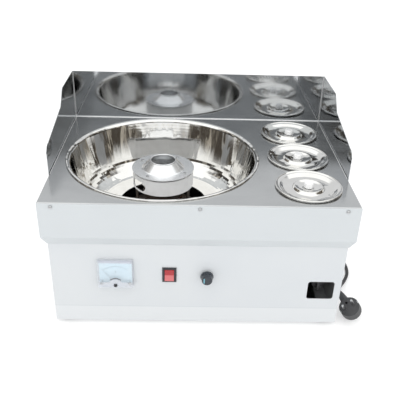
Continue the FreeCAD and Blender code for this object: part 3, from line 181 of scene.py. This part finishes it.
class Finish:
    """A Principled material with short ways to wire patterns into it."""

    def __init__(self, name, colour, metallic=0.0, roughness=0.5, **settings):
        self.material = bpy.data.materials.new(name)
        self.material.use_nodes = True
        self.tree = self.material.node_tree
        self.shader = self.tree.nodes["Principled BSDF"]
        self.set("Base Color", (*colour, 1.0))
        self.set("Metallic", metallic)
        self.set("Roughness", roughness)
        for socket, value in settings.items():
            self.set(socket.replace("_", " "), value)
        self.colour = colour

    def set(self, socket, value):
        self.shader.inputs[socket].default_value = value

    def node(self, kind, **values):
        made = self.tree.nodes.new(kind)
        for key, value in values.items():
            setattr(made, key, value)
        return made

    def link(self, out, into):
        self.tree.links.new(out, into)

    def place(self, stretch, origin=(0.0, 0.0, 0.0)):
        """Object coordinates counted from an origin and scaled along each axis."""
        source = self.node("ShaderNodeTexCoord")
        mapping = self.node("ShaderNodeMapping")
        mapping.inputs["Scale"].default_value = stretch
        mapping.inputs["Location"].default_value = [-o * s for o, s in zip(origin, stretch)]
        self.link(source.outputs["Object"], mapping.inputs["Vector"])
        return mapping.outputs["Vector"]

    def axis(self, name, origin=(0.0, 0.0, 0.0)):
        """One object coordinate in metres."""
        split = self.node("ShaderNodeSeparateXYZ")
        self.link(self.place((1.0, 1.0, 1.0), origin), split.inputs["Vector"])
        return split.outputs[name]

    def facing(self, name):
        """One part of the surface's own direction."""
        split = self.node("ShaderNodeSeparateXYZ")
        source = self.node("ShaderNodeTexCoord")
        self.link(source.outputs["Normal"], split.inputs["Vector"])
        return split.outputs[name]

    def noise(self, stretch, detail=3.0, distortion=0.0, rough=0.55):
        made = self.node("ShaderNodeTexNoise")
        made.inputs["Scale"].default_value = 1.0
        made.inputs["Detail"].default_value = detail
        made.inputs["Roughness"].default_value = rough
        made.inputs["Distortion"].default_value = distortion
        self.link(self.place(stretch), made.inputs["Vector"])
        return made.outputs["Fac"]

    def spread(self, value, low, high, out_low, out_high):
        made = self.node("ShaderNodeMapRange")
        made.inputs["From Min"].default_value = low
        made.inputs["From Max"].default_value = high
        made.inputs["To Min"].default_value = out_low
        made.inputs["To Max"].default_value = out_high
        self.link(value, made.inputs["Value"])
        return made.outputs["Result"]

    def sums(self, first, second, operation="ADD"):
        made = self.node("ShaderNodeMath", operation=operation)
        self.link(first, made.inputs[0])
        if second is not None:
            self.link(second, made.inputs[1])
        return made.outputs["Value"]

    def tint(self, share, other):
        """Mixes the base colour towards another by a share from 0 to 1."""
        mix = self.node("ShaderNodeMix", data_type="RGBA")
        self.link(share, mix.inputs["Factor"])
        base = self.shader.inputs["Base Color"]
        if base.is_linked:
            self.link(base.links[0].from_socket, mix.inputs["A"])
        else:
            mix.inputs["A"].default_value = (*self.colour, 1.0)
        mix.inputs["B"].default_value = (*other, 1.0)
        self.link(mix.outputs["Result"], base)

    def vary_colour(self, value, other, low=0.35, high=0.65):
        self.tint(self.spread(value, low, high, 0.0, 1.0), other)

    def vary_roughness(self, value, rough_low, rough_high, low=0.3, high=0.7):
        self.link(self.spread(value, low, high, rough_low, rough_high), self.shader.inputs["Roughness"])

    def bump(self, value, distance, strength=1.0):
        made = self.node("ShaderNodeBump")
        made.inputs["Distance"].default_value = distance
        made.inputs["Strength"].default_value = strength
        normal = self.shader.inputs["Normal"]
        if normal.is_linked:
            self.link(normal.links[0].from_socket, made.inputs["Normal"])
        self.link(value, made.inputs["Height"])
        self.link(made.outputs["Normal"], normal)


def metal(name, colour, other, rough, brushing=(6, 900, 900), brushed=0.00002, dents=0.0, blotch=14.0):
    """Sheet or turned metal: fine directional brushing, cloudy handling marks and slight dents."""
    made = Finish(name, colour, metallic=1.0, roughness=rough[0])
    clouds = made.noise((blotch, blotch, blotch), detail=5.0, distortion=0.6)
    lines = made.noise(brushing, detail=2.0)
    made.vary_colour(clouds, other)
    mixed = made.sums(clouds, made.spread(lines, 0.3, 0.7, -0.12, 0.12))
    made.vary_roughness(mixed, rough[0], rough[1])
    made.bump(lines, brushed)
    if dents:
        made.bump(made.noise((11, 11, 11), detail=1.0), dents)
    return made.material


def plastic(name, colour, other, rough, grain=0.00004, grain_scale=2200.0, **settings):
    """Moulded plastic, rubber or card: fine grain, faint shade changes and rubbed patches."""
    made = Finish(name, colour, roughness=rough[0], **settings)
    clouds = made.noise((35, 35, 35), detail=4.0, distortion=0.4)
    fine = made.noise((grain_scale, grain_scale, grain_scale), detail=1.0)
    made.vary_colour(clouds, other)
    made.vary_roughness(clouds, rough[0], rough[1])
    made.bump(fine, grain)
    return made.material


def tray_sheet():
    """Satin deck; its upright sides, picked by the way they face, get a paler, duller and less metallic
    finish as painted sheen for the bright light they mirror.
    """
    made = Finish("stainless_satin", (0.62, 0.63, 0.635), metallic=1.0, roughness=0.2)
    clouds = made.noise((9, 9, 9), detail=5.0, distortion=0.6)
    lines = made.noise((8, 900, 900), detail=2.0)
    # Painted sheen: upright faces get a bluer tint, less metal and more roughness, standing in for the
    # bright light the steel sides mirror.
    side = made.spread(made.facing("Z"), 0.35, 0.75, 1.0, 0.0)
    made.vary_colour(clouds, (0.57, 0.58, 0.585))
    made.tint(side, (0.585, 0.615, 0.632))
    worn = made.sums(clouds, made.spread(lines, 0.3, 0.7, -0.12, 0.12))
    deck = made.spread(worn, 0.3, 0.7, 0.16, 0.26)
    made.link(made.sums(deck, made.spread(side, 0.0, 1.0, 0.0, 0.28)), made.shader.inputs["Roughness"])
    made.link(made.spread(side, 0.0, 1.0, 1.0, 0.25), made.shader.inputs["Metallic"])
    made.bump(lines, 0.00002)
    made.bump(made.noise((7, 7, 7), detail=1.0), 0.0003)
    return made.material


def guard_sheet():
    """Bright-annealed sheet: a soft mirror that is a little uneven, with fine upright grain."""
    made = Finish("stainless_dark_mirror", (0.57, 0.585, 0.60), metallic=1.0, roughness=0.1)
    clouds = made.noise((6, 6, 6), detail=4.0, distortion=0.8)
    lines = made.noise((900, 900, 8), detail=2.0)
    made.vary_colour(clouds, (0.51, 0.525, 0.54))
    made.vary_roughness(made.sums(clouds, made.spread(lines, 0.3, 0.7, -0.1, 0.1)), 0.045, 0.095)
    made.bump(lines, 0.00001)
    made.bump(made.noise((6, 6, 6), detail=1.0), 0.0004)
    return made.material


def mirror_steel():
    """Deep-drawn mirror steel: faint upright drawing waves and a few handling smears."""
    made = Finish("stainless_mirror", (0.86, 0.855, 0.84), metallic=1.0, roughness=0.04)
    smears = made.noise((18, 18, 18), detail=5.0, distortion=1.2)
    waves = made.noise((38, 38, 5), detail=1.5, distortion=0.3)
    made.vary_colour(smears, (0.80, 0.79, 0.77))
    made.vary_roughness(smears, 0.03, 0.08)
    made.bump(waves, 0.0012)
    return made.material


def satin_ring():
    """Ground ring of the flame guard: dull satin with fine turning lines; its inner face gets painted
    shade, a near-black tint.
    """
    made = Finish("satin_ring", (0.86, 0.865, 0.87), metallic=0.15, roughness=0.42)
    clouds = made.noise((30, 30, 30), detail=4.0, distortion=0.5)
    lines = made.noise((40, 40, 2500), detail=2.0)
    made.vary_colour(clouds, (0.79, 0.795, 0.80))
    low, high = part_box("flame_guard")
    middle = ((low[0] + high[0]) / 2, (low[1] + high[1]) / 2, 0.0)
    reach = made.node("ShaderNodeVectorMath", operation="LENGTH")
    made.link(made.place((1.0, 1.0, 0.0), middle), reach.inputs[0])
    outer = min(high[0] - low[0], high[1] - low[1]) / 2
    # Painted shade: the ring's inner face is tinted near black, standing in for the shade inside the head.
    shaded_inner_face = made.spread(reach.outputs["Value"], outer - 0.0007, outer - 0.0003, 1.0, 0.0)
    made.tint(shaded_inner_face, (0.09, 0.08, 0.075))
    made.vary_roughness(clouds, 0.36, 0.5)
    made.bump(lines, 0.00003)
    return made.material


def bright_satin(name, colour, other, metallic):
    """Turned aluminium for the cover and the lids' knobs, near white; whatever is left non-metallic is
    painted sheen, a diffuse white that brightens it past its reflections.
    """
    made = Finish(name, colour, metallic=metallic, roughness=0.25)
    clouds = made.noise((40, 40, 40), detail=4.0, distortion=0.5)
    lines = made.noise((900, 900, 40), detail=2.0)
    made.vary_colour(clouds, other)
    made.vary_roughness(made.sums(clouds, made.spread(lines, 0.3, 0.7, -0.1, 0.1)), 0.18, 0.28)
    made.bump(lines, 0.00002)
    return made.material


def dial_card():
    """Pale blue scale card with a greyer printed band along its top."""
    made = Finish("dial_card", (0.60, 0.74, 0.80), roughness=0.55)
    clouds = made.noise((60, 60, 60), detail=3.0)
    made.vary_colour(clouds, (0.57, 0.73, 0.81))
    made.tint(made.spread(made.axis("Z"), *DIAL_BAND_Z, 0.0, 1.0), (0.50, 0.50, 0.57))
    made.vary_roughness(clouds, 0.5, 0.65)
    made.bump(made.noise((1800, 1800, 1800), detail=1.0), 0.00002)
    return made.material


def knob_black():
    """Glossy black knob with a painted highlight: a short upright blue streak beside its middle."""
    made = Finish("knob_plastic", (0.018, 0.024, 0.034), roughness=0.22, Coat_Weight=0.3)
    clouds = made.noise((35, 35, 35), detail=4.0, distortion=0.4)
    made.vary_colour(clouds, (0.03, 0.036, 0.045))
    x0, z0 = KNOB_MIDDLE
    # Painted highlight: a short upright blue streak left of the knob's middle, standing in for a bluish
    # gleam on the knob.
    beside = made.spread(made.axis("X", (x0 - HIGHLIGHT_ASIDE, 0, 0)), -0.0013, 0.0013, -1.0, 1.0)
    narrow = made.spread(made.sums(beside, beside, "MULTIPLY"), 0.5, 1.0, 1.0, 0.0)
    upright = made.spread(made.axis("Z", (0, 0, z0)), -0.006, 0.006, -1.0, 1.0)
    short = made.spread(made.sums(upright, upright, "MULTIPLY"), 0.5, 1.0, 1.0, 0.0)
    made.tint(made.sums(narrow, short, "MULTIPLY"), (0.16, 0.38, 0.46))
    made.vary_roughness(clouds, 0.18, 0.32)
    return made.material


def painted_case():
    """Pale painted case with a faint fold line near its foot, lighter below it; inside, its rear half gets
    painted shade, a near-black tint.
    """
    made = Finish("case_sheet", (0.615, 0.637, 0.65), metallic=0.0, roughness=0.34)
    clouds = made.noise((5, 5, 5), detail=3.0, distortion=0.8)
    lines = made.noise((10, 700, 700), detail=2.0)
    made.vary_colour(clouds, (0.592, 0.617, 0.638))
    made.tint(made.spread(made.axis("Z"), FOLD_Z - 0.002, FOLD_Z, 1.0, 0.0), (0.645, 0.665, 0.678))
    off_fold = made.sums(made.axis("Z", (0, 0, FOLD_Z)), None, "ABSOLUTE")
    made.tint(made.spread(off_fold, 0.0, 0.0012, 0.55, 0.0), (0.50, 0.53, 0.55))
    # Painted shade: the inner faces of the rear half are tinted near black, standing in for the shade
    # inside the case.
    low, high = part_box("lower_case")
    deep, shallow = INNER_SKIN
    before_rear = made.spread(made.axis("Y"), high[1] - deep, high[1] - shallow, 1.0, 0.0)
    shaded_rear_inside = made.sums(made.spread(made.axis("Y"), 0.0, 0.001, 0.0, 1.0), before_rear, "MULTIPLY")
    sideways = made.sums(made.axis("X", ((low[0] + high[0]) / 2, 0, 0)), None, "ABSOLUTE")
    half = (high[0] - low[0]) / 2
    between_sides = made.spread(sideways, half - deep, half - shallow, 1.0, 0.0)
    made.tint(made.sums(shaded_rear_inside, between_sides, "MULTIPLY"), (0.07, 0.07, 0.072))
    made.vary_roughness(clouds, 0.34, 0.48)
    made.bump(lines, 0.00002)
    return made.material


def rocker_red():
    """Translucent red rocker: the pressed upper half is deep red; the raised lower half gets a painted
    highlight, a lighter red painted into its colour.
    """
    made = Finish("red_plastic", (0.38, 0.016, 0.022), roughness=0.2, Coat_Weight=0.3)
    clouds = made.noise((90, 90, 90), detail=3.0)
    # Painted highlight: below the rocker's fold the red is tinted lighter, standing in for the light the
    # raised lower half catches.
    lower = made.spread(made.axis("Z"), *ROCKER_FOLD_Z, 0.0, 1.0)
    made.tint(lower, (0.60, 0.16, 0.165))
    made.vary_colour(clouds, (0.40, 0.02, 0.03), 0.6, 0.9)
    made.vary_roughness(clouds, 0.16, 0.26)
    return made.material


def clear_acrylic():
    made = Finish("clear_acrylic", (0.90, 0.93, 0.97), roughness=0.05, Alpha=0.18)
    smears = made.noise((40, 40, 90), detail=4.0)
    made.vary_colour(smears, (0.84, 0.90, 0.97))
    made.vary_roughness(smears, 0.03, 0.12)
    return made.material


def make_materials():
    steel = (0.60, 0.61, 0.615)
    return {
        "stainless_satin": tray_sheet(),
        "stainless_mirror": mirror_steel(),
        "stainless_dark_mirror": guard_sheet(),
        "case_sheet": painted_case(),
        "zinc_steel": metal(
            "zinc_steel", (0.62, 0.63, 0.63), (0.52, 0.53, 0.56), (0.28, 0.45), (60, 60, 60)
        ),
        "screw_steel": metal("screw_steel", steel, (0.50, 0.51, 0.52), (0.25, 0.42), (1500, 1500, 60)),
        "burnt_steel": metal(
            "burnt_steel", (0.05, 0.046, 0.043), (0.085, 0.065, 0.052), (0.5, 0.75), (60, 60, 60)
        ),
        "spun_aluminium": metal(
            "spun_aluminium", (0.86, 0.87, 0.88), (0.80, 0.81, 0.82), (0.22, 0.32), (700, 700, 30)
        ),
        "cast_alloy": metal(
            "cast_alloy", (0.55, 0.55, 0.56), (0.45, 0.45, 0.46), (0.4, 0.6), (300, 300, 300), 0.0001
        ),
        "brass": metal("brass", (0.70, 0.50, 0.22), (0.55, 0.36, 0.15), (0.2, 0.38), (900, 60, 900)),
        "copper": metal("copper", (0.72, 0.38, 0.24), (0.50, 0.24, 0.15), (0.2, 0.4), (60, 60, 60)),
        "black_rubber": plastic("black_rubber", (0.02, 0.02, 0.021), (0.035, 0.034, 0.033), (0.6, 0.8)),
        "black_plastic": plastic(
            "black_plastic", (0.022, 0.022, 0.026), (0.034, 0.034, 0.038), (0.38, 0.55)
        ),
        "knob_plastic": knob_black(),
        "red_plastic": rocker_red(),
        "meter_plastic": plastic("meter_plastic", (0.57, 0.59, 0.62), (0.53, 0.55, 0.59), (0.25, 0.4)),
        "dial_card": dial_card(),
        "dial_ink": plastic("dial_ink", (0.20, 0.28, 0.33), (0.25, 0.33, 0.38), (0.5, 0.6)),
        "satin_ring": satin_ring(),
        # Near black, for the painted-shade sheet behind the rear vents.
        "gauze": metal(
            "gauze", (0.06, 0.06, 0.062), (0.09, 0.09, 0.092), (0.5, 0.7), (1500, 60, 1500), 0.0001
        ),
        # Painted sheen: what is left non-metallic in these near-white finishes, little on the cover and
        # most on the lids' knobs (metallic 0.25), is diffuse white standing in for their bright highlights.
        "cover_satin": bright_satin("cover_satin", (0.94, 0.95, 0.96), (0.88, 0.89, 0.90), 0.85),
        "knob_satin": bright_satin("knob_satin", (0.96, 0.965, 0.97), (0.91, 0.915, 0.92), 0.25),
        "needle_black": plastic("needle_black", (0.40, 0.49, 0.54), (0.45, 0.54, 0.58), (0.4, 0.5)),
        "clear_acrylic": clear_acrylic(),
        "cord_pvc": plastic("cord_pvc", (0.022, 0.022, 0.024), (0.036, 0.036, 0.038), (0.42, 0.58)),
        "plug_rubber": plastic("plug_rubber", (0.04, 0.041, 0.043), (0.06, 0.06, 0.063), (0.42, 0.6)),
    }


def dress_nodes(materials):
    """Gives every CAD node the material of the slot that the record names for it; the flame guard, the
    spinner cover and the lids' knobs get finishes made here instead.
    """
    slots = {part["node"]: part["material_slot"] for part in frame["record"]["subparts"]}
    slots["flame_guard"] = "satin_ring"
    slots["spinner_cover"] = "cover_satin"
    for number in range(1, 4):
        slots[f"lid_knob_{number}"] = "knob_satin"
    for name, thing in NODES.items():
        thing.data.materials.clear()
        thing.data.materials.append(materials[slots[name]])


# --- pieces made here ---------------------------------------------------------------------------
LATHE_STEPS = 160
LID_SHEET = 0.75
LID_BEAD = 1.5
LID_BEAD_HEIGHT = 2.6
LID_PROFILE = [
    (4.0, 0.3), (13.0, 0.3), (17.0, 0.6), (21.0, 1.5), (23.6, 2.7), (24.6, 2.95), (25.4, 2.8),
    (26.0, 2.1), (27.5, -1.3), (28.2, -2.0), (29.4, -2.3), (44.0, -2.3), (46.0, -1.7), (50.2, 1.9),
    (51.4, 2.5), (53.0, 2.7),
]
SEAM_RADIUS = 0.0014
SEAM_BEVEL_STEPS = 2
GUARD_SHEET = 0.001
GAUZE_DEPTH = 0.0014
GAUZE_THICK = 0.0006
GAUZE_X = (-0.206, 0.050)
GAUZE_Z = (0.054, 0.114)


def placed(data, name, body, material):
    """Gives a mesh or curve its finish and lets it ride on its body."""
    data.materials.append(material)
    piece = bpy.data.objects.new(name, data)
    bpy.context.scene.collection.objects.link(piece)
    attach(piece, body)
    return piece


def lathe(name, outline, middle, body, material):
    """A closed outline of (radius, height) points turned about an upright axis."""
    made = bmesh.new()
    rings = []
    for step in range(LATHE_STEPS):
        angle = 2 * math.pi * step / LATHE_STEPS
        away = (math.cos(angle), math.sin(angle))
        places = [(middle[0] + r * away[0], middle[1] + r * away[1], z) for r, z in outline]
        rings.append([made.verts.new(place) for place in places])
    for here, there in zip(rings, rings[1:] + rings[:1]):
        for i in range(len(outline)):
            j = (i + 1) % len(outline)
            made.faces.new((here[i], there[i], there[j], here[j]))
    bmesh.ops.recalc_face_normals(made, faces=made.faces)
    mesh = bpy.data.meshes.new(name)
    made.to_mesh(mesh)
    made.free()
    for face in mesh.polygons:
        face.use_smooth = True
    return placed(mesh, name, body, material)


def arc(cx, cz, radius, start, end, steps):
    turns = [math.radians(start + (end - start) * i / steps) for i in range(steps + 1)]
    return [(cx + radius * math.cos(t), cz + radius * math.sin(t)) for t in turns]


def thickened(line, thickness):
    """A thin wall under an open line of (radius, height) points, as a closed outline."""
    pushed = []
    for i, (r, z) in enumerate(line):
        before = line[max(i - 1, 0)]
        after = line[min(i + 1, len(line) - 1)]
        turn = math.atan2(after[1] - before[1], after[0] - before[0])
        pushed.append((r + thickness * math.sin(turn), z - thickness * math.cos(turn)))
    return line + pushed[::-1]


def pressed_lids(materials):
    """Lids with crisp pressed edges and a rolled rim, in the room of the plainer CAD ones."""
    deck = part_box("top_tray")[1][2]
    steel = materials["stainless_mirror"]
    for number in range(1, 4):
        low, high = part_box(f"pot_lid_{number}")
        middle = ((low[0] + high[0]) / 2, (low[1] + high[1]) / 2)
        out = (high[0] - low[0]) / 2 / MM
        line = LID_PROFILE + arc(out - LID_BEAD, LID_BEAD_HEIGHT, LID_BEAD, 165, -60, 12)
        outline = [(r * MM, deck + z * MM) for r, z in thickened(line, LID_SHEET)]
        name = f"pressed_lid_{number}"
        lid = lathe(name, outline, middle, f"lid_{number}", steel)
        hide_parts(f"pot_lid_{number}")


def bead_run(name, points, radius, body, material):
    """A round bead along straight runs."""
    curve = bpy.data.curves.new(name, "CURVE")
    curve.dimensions = "3D"
    spline = curve.splines.new("POLY")
    spline.points.add(len(points) - 1)
    for point, place in zip(spline.points, points):
        point.co = (*place, 1.0)
        point.radius = radius
    curve.bevel_depth = 1.0
    curve.bevel_resolution = SEAM_BEVEL_STEPS
    curve.use_fill_caps = True
    return placed(curve, name, body, material)


def guard_seams(materials):
    """Rounded seam beads where the splash guard meets the deck and at its two corners, in the near-white
    knob_satin finish: a real rounded bend with a painted highlight along it.
    """
    low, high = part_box("splash_guard")
    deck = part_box("top_tray")[1][2]
    radius = SEAM_RADIUS
    left, right = low[0] + GUARD_SHEET, high[0] - GUARD_SHEET
    front, rear = low[1] + GUARD_SHEET, high[1] - GUARD_SHEET
    top = high[2] - GUARD_SHEET
    inset = radius / 2
    runs = {
        "rear": [(left, rear - radius, deck), (right, rear - radius, deck)],
        "left": [(left + radius, front, deck), (left + radius, rear, deck)],
        "right": [(right - radius, front, deck), (right - radius, rear, deck)],
        "left_corner": [(left + inset, rear - inset, deck), (left + inset, rear - inset, top)],
        "right_corner": [(right - inset, rear - inset, deck), (right - inset, rear - inset, top)],
    }
    for name, points in runs.items():
        wide = radius if name == "rear" else radius / 3
        # Painted highlight: the beads take the pale knob_satin finish, not the guard's darker steel, so
        # they read as the bright line along each bend.
        bead_run(f"guard_seam_{name}", points, wide, "cabinet", materials["knob_satin"])


METER_PIVOT = (-0.1475, 0.100)
METER_SWEEP = 40.0


def flat_strip(name, outline, plane_y, thick, body, material):
    """A closed outline of (x, z) points, given a thickness towards -Y."""
    made = bmesh.new()
    near = [made.verts.new((x, plane_y - thick, z)) for x, z in outline]
    far = [made.verts.new((x, plane_y, z)) for x, z in outline]
    count = len(outline)
    for i in range(count):
        j = (i + 1) % count
        made.faces.new((near[i], near[j], far[j], far[i]))
    made.faces.new(near)
    made.faces.new(far[::-1])
    bmesh.ops.recalc_face_normals(made, faces=made.faces)
    mesh = bpy.data.meshes.new(name)
    made.to_mesh(mesh)
    made.free()
    return placed(mesh, name, body, material)


def around_pivot(radius, angle):
    """A point on the meter's scale, its angle counted from straight up."""
    turn = math.radians(angle)
    return (METER_PIVOT[0] + radius * math.sin(turn), METER_PIVOT[1] + radius * math.cos(turn))


def vent_shade_gauze(materials):
    """Near-black gauze sheet on the inner side of the rear panel's vents: painted shade, so the bright
    floor isn't seen through the case.
    """
    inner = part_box("lower_case")[1][1] - GAUZE_DEPTH
    (left, right), (bottom, top) = GAUZE_X, GAUZE_Z
    outline = [(left, bottom), (right, bottom), (right, top), (left, top)]
    # Painted shade: a near-black sheet behind the vents stands in for the shade inside the case.
    flat_strip("vent_shade_gauze", outline, inner, GAUZE_THICK, "cabinet", materials["gauze"])


def meter_scale(materials):
    """Printed arc with eleven ticks, a plain bar under it, and the dark chevron over the pivot."""
    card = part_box("meter_dial")[0][1]
    ink = 0.00008
    inner, outer, steps, ticks = 0.0335, 0.0342, 24, 10
    angles = [METER_SWEEP * (2 * i / steps - 1) for i in range(steps + 1)]
    band = [around_pivot(outer, a) for a in angles] + [around_pivot(inner, a) for a in angles[::-1]]
    flat_strip("scale_arc", band, card, ink, "cabinet", materials["dial_ink"])
    for i in range(ticks + 1):
        angle = METER_SWEEP * (2 * i / ticks - 1)
        long = 0.0032 if i % 5 == 0 else 0.0018
        half = math.degrees(0.0002 / outer)
        corners = [(outer, -half), (outer + long, -half), (outer + long, half), (outer, half)]
        tick = [around_pivot(r, angle + a) for r, a in corners]
        flat_strip(f"scale_tick_{i}", tick, card, ink, "cabinet", materials["dial_ink"])
    x, z = METER_PIVOT[0], METER_PIVOT[1] + 0.0225
    foot, head, tall = 0.0005, 0.0007, 0.0028
    mark = [(x - foot, z - tall), (x + foot, z - tall), (x + head, z + tall), (x - head, z + tall)]
    flat_strip("scale_mark", mark, card, ink, "cabinet", materials["dial_ink"])
    mask_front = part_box("meter_mask")[0][1]
    half_w, drop, wide = 0.0098, 0.0042, 0.0022
    apex = METER_PIVOT[1] + 0.0142
    flat, dip = 0.002, 0.0004
    upper = [(x - half_w, apex - drop), (x - flat, apex - dip)]
    upper += [(x + flat, apex - dip), (x + half_w, apex - drop)]
    chevron = upper + [(px, pz - wide) for px, pz in upper[::-1]]
    black = materials["black_plastic"]
    flat_strip("meter_chevron", chevron, mask_front + 0.0006, 0.0007, "cabinet", black)


# --- studio -------------------------------------------------------------------------------------
class Sky:
    """Node arithmetic on the direction a ray leaves in."""

    def __init__(self, tree):
        self.tree = tree
        source = tree.nodes.new("ShaderNodeTexCoord")
        split = tree.nodes.new("ShaderNodeSeparateXYZ")
        tree.links.new(source.outputs["Generated"], split.inputs["Vector"])
        self.x, self.y, self.z = split.outputs

    def ramp(self, value, low, high, out_low, out_high):
        made = self.tree.nodes.new("ShaderNodeMapRange")
        made.interpolation_type = "SMOOTHSTEP"
        limits = {"From Min": low, "From Max": high, "To Min": out_low, "To Max": out_high}
        for socket, number in limits.items():
            made.inputs[socket].default_value = number
        self.tree.links.new(value, made.inputs["Value"])
        return made.outputs["Result"]

    def math(self, operation, first, second=None):
        made = self.tree.nodes.new("ShaderNodeMath")
        made.operation = operation
        for i, value in enumerate((first, second)):
            if isinstance(value, (int, float)):
                made.inputs[i].default_value = value
            elif value is not None:
                self.tree.links.new(value, made.inputs[i])
        return made.outputs["Value"]

    def noise(self, value, scale):
        made = self.tree.nodes.new("ShaderNodeTexNoise")
        made.noise_dimensions = "1D"
        made.inputs["Scale"].default_value = scale
        made.inputs["Detail"].default_value = 2.0
        self.tree.links.new(value, made.inputs["W"])
        return made.outputs["Fac"]

    def mix_value(self, share, first, second):
        return self.math("ADD", first, self.math("MULTIPLY", share, self.math("SUBTRACT", second, first)))

    def mix(self, share, first, second):
        made = self.tree.nodes.new("ShaderNodeMix")
        made.data_type = "RGBA"
        self.tree.links.new(share, made.inputs["Factor"])
        for name, value in (("A", first), ("B", second)):
            if isinstance(value, tuple):
                made.inputs[name].default_value = (*value, 1.0)
            else:
                self.tree.links.new(value, made.inputs[name])
        return made.outputs["Result"]


def make_world():
    """White to the camera and dull surfaces; polished ones see a studio with light and dark walls."""
    world = bpy.data.worlds.new("studio")
    bpy.context.scene.world = world
    world.use_nodes = True
    tree = world.node_tree
    sky = Sky(tree)
    behind = (0.74, 0.75, 0.76)
    before_low = (0.98, 0.99, 1.0)
    before_dim = (0.30, 0.31, 0.32)
    before_high = (0.62, 0.63, 0.63)
    overhead = (1.25, 1.26, 1.25)
    cream = (0.52, 0.48, 0.41)
    brown = (0.075, 0.064, 0.053)
    front = sky.ramp(sky.y, 0.15, -0.15, 0.0, 1.0)
    over_horizon = sky.ramp(sky.z, 0.14, 0.26, 0.0, 1.0)
    near_top_rear = sky.ramp(sky.z, 0.66, 0.78, 0.0, 1.0)
    near_top_front = sky.ramp(sky.z, 0.42, 0.53, 0.0, 1.0)
    middle = sky.mix(sky.ramp(sky.z, 0.36, 0.55, 0.0, 1.0), before_dim, before_high)
    azimuth = sky.math("ARCTAN2", sky.x, sky.math("MULTIPLY", sky.y, -1.0))
    bands = sky.noise(azimuth, 7.0)
    striped = sky.mix(sky.ramp(bands, 0.52, 0.60, 0.0, 1.0), brown, cream)
    aside = sky.ramp(sky.math("ABSOLUTE", sky.x), 0.16, 0.28, 0.0, 1.0)
    before = sky.mix(over_horizon, before_low, sky.mix(aside, middle, striped))
    far_aside = sky.ramp(sky.math("ABSOLUTE", sky.x), 0.62, 0.80, 0.0, 1.0)
    ring = sky.mix(far_aside, sky.mix(front, behind, before), striped)
    seen = sky.mix(sky.mix_value(front, near_top_rear, near_top_front), ring, overhead)
    path = tree.nodes.new("ShaderNodeLightPath")
    dull = sky.mix(path.outputs["Is Diffuse Ray"], (1.0, 1.0, 1.0), (1.17, 1.17, 1.17))
    shown = sky.mix(path.outputs["Is Glossy Ray"], dull, seen)
    background = tree.nodes["Background"]
    tree.links.new(shown, background.inputs["Color"])
    background.inputs["Strength"].default_value = 1.0


def make_floor():
    half = 4.0
    mesh = bpy.data.meshes.new("floor")
    corners = [(-half, -half, 0), (half, -half, 0), (half, half, 0), (-half, half, 0)]
    mesh.from_pydata(corners, [], [(0, 1, 2, 3)])
    floor = bpy.data.objects.new("floor", mesh)
    bpy.context.scene.collection.objects.link(floor)
    made = Finish("floor_sweep", (0.7, 0.7, 0.7), roughness=0.7)
    made.set("Emission Color", (1.0, 1.0, 1.0, 1.0))
    made.set("Emission Strength", 0.35)
    mesh.materials.append(made.material)


def make_lights():
    """One large soft light over the front, which polished surfaces don't mirror."""
    data = bpy.data.lights.new("soft_front", "AREA")
    data.shape = "DISK"
    data.size = 2.5
    data.energy = 12.0
    light = bpy.data.objects.new("soft_front", data)
    light.location = (-0.3, -1.6, 2.2)
    light.rotation_euler = (Vector(light.location) - Vector((0, 0, 0.1))).to_track_quat("Z", "Y").to_euler()
    light.visible_glossy = False
    bpy.context.scene.collection.objects.link(light)


make_camera()
lead = make_cord()
materials = make_materials()
lead.data.materials.append(materials["cord_pvc"])
dress_nodes(materials)
pressed_lids(materials)
guard_seams(materials)
vent_shade_gauze(materials)
meter_scale(materials)
make_world()
make_floor()
make_lights()
bpy.context.scene.view_settings.view_transform = "Standard"
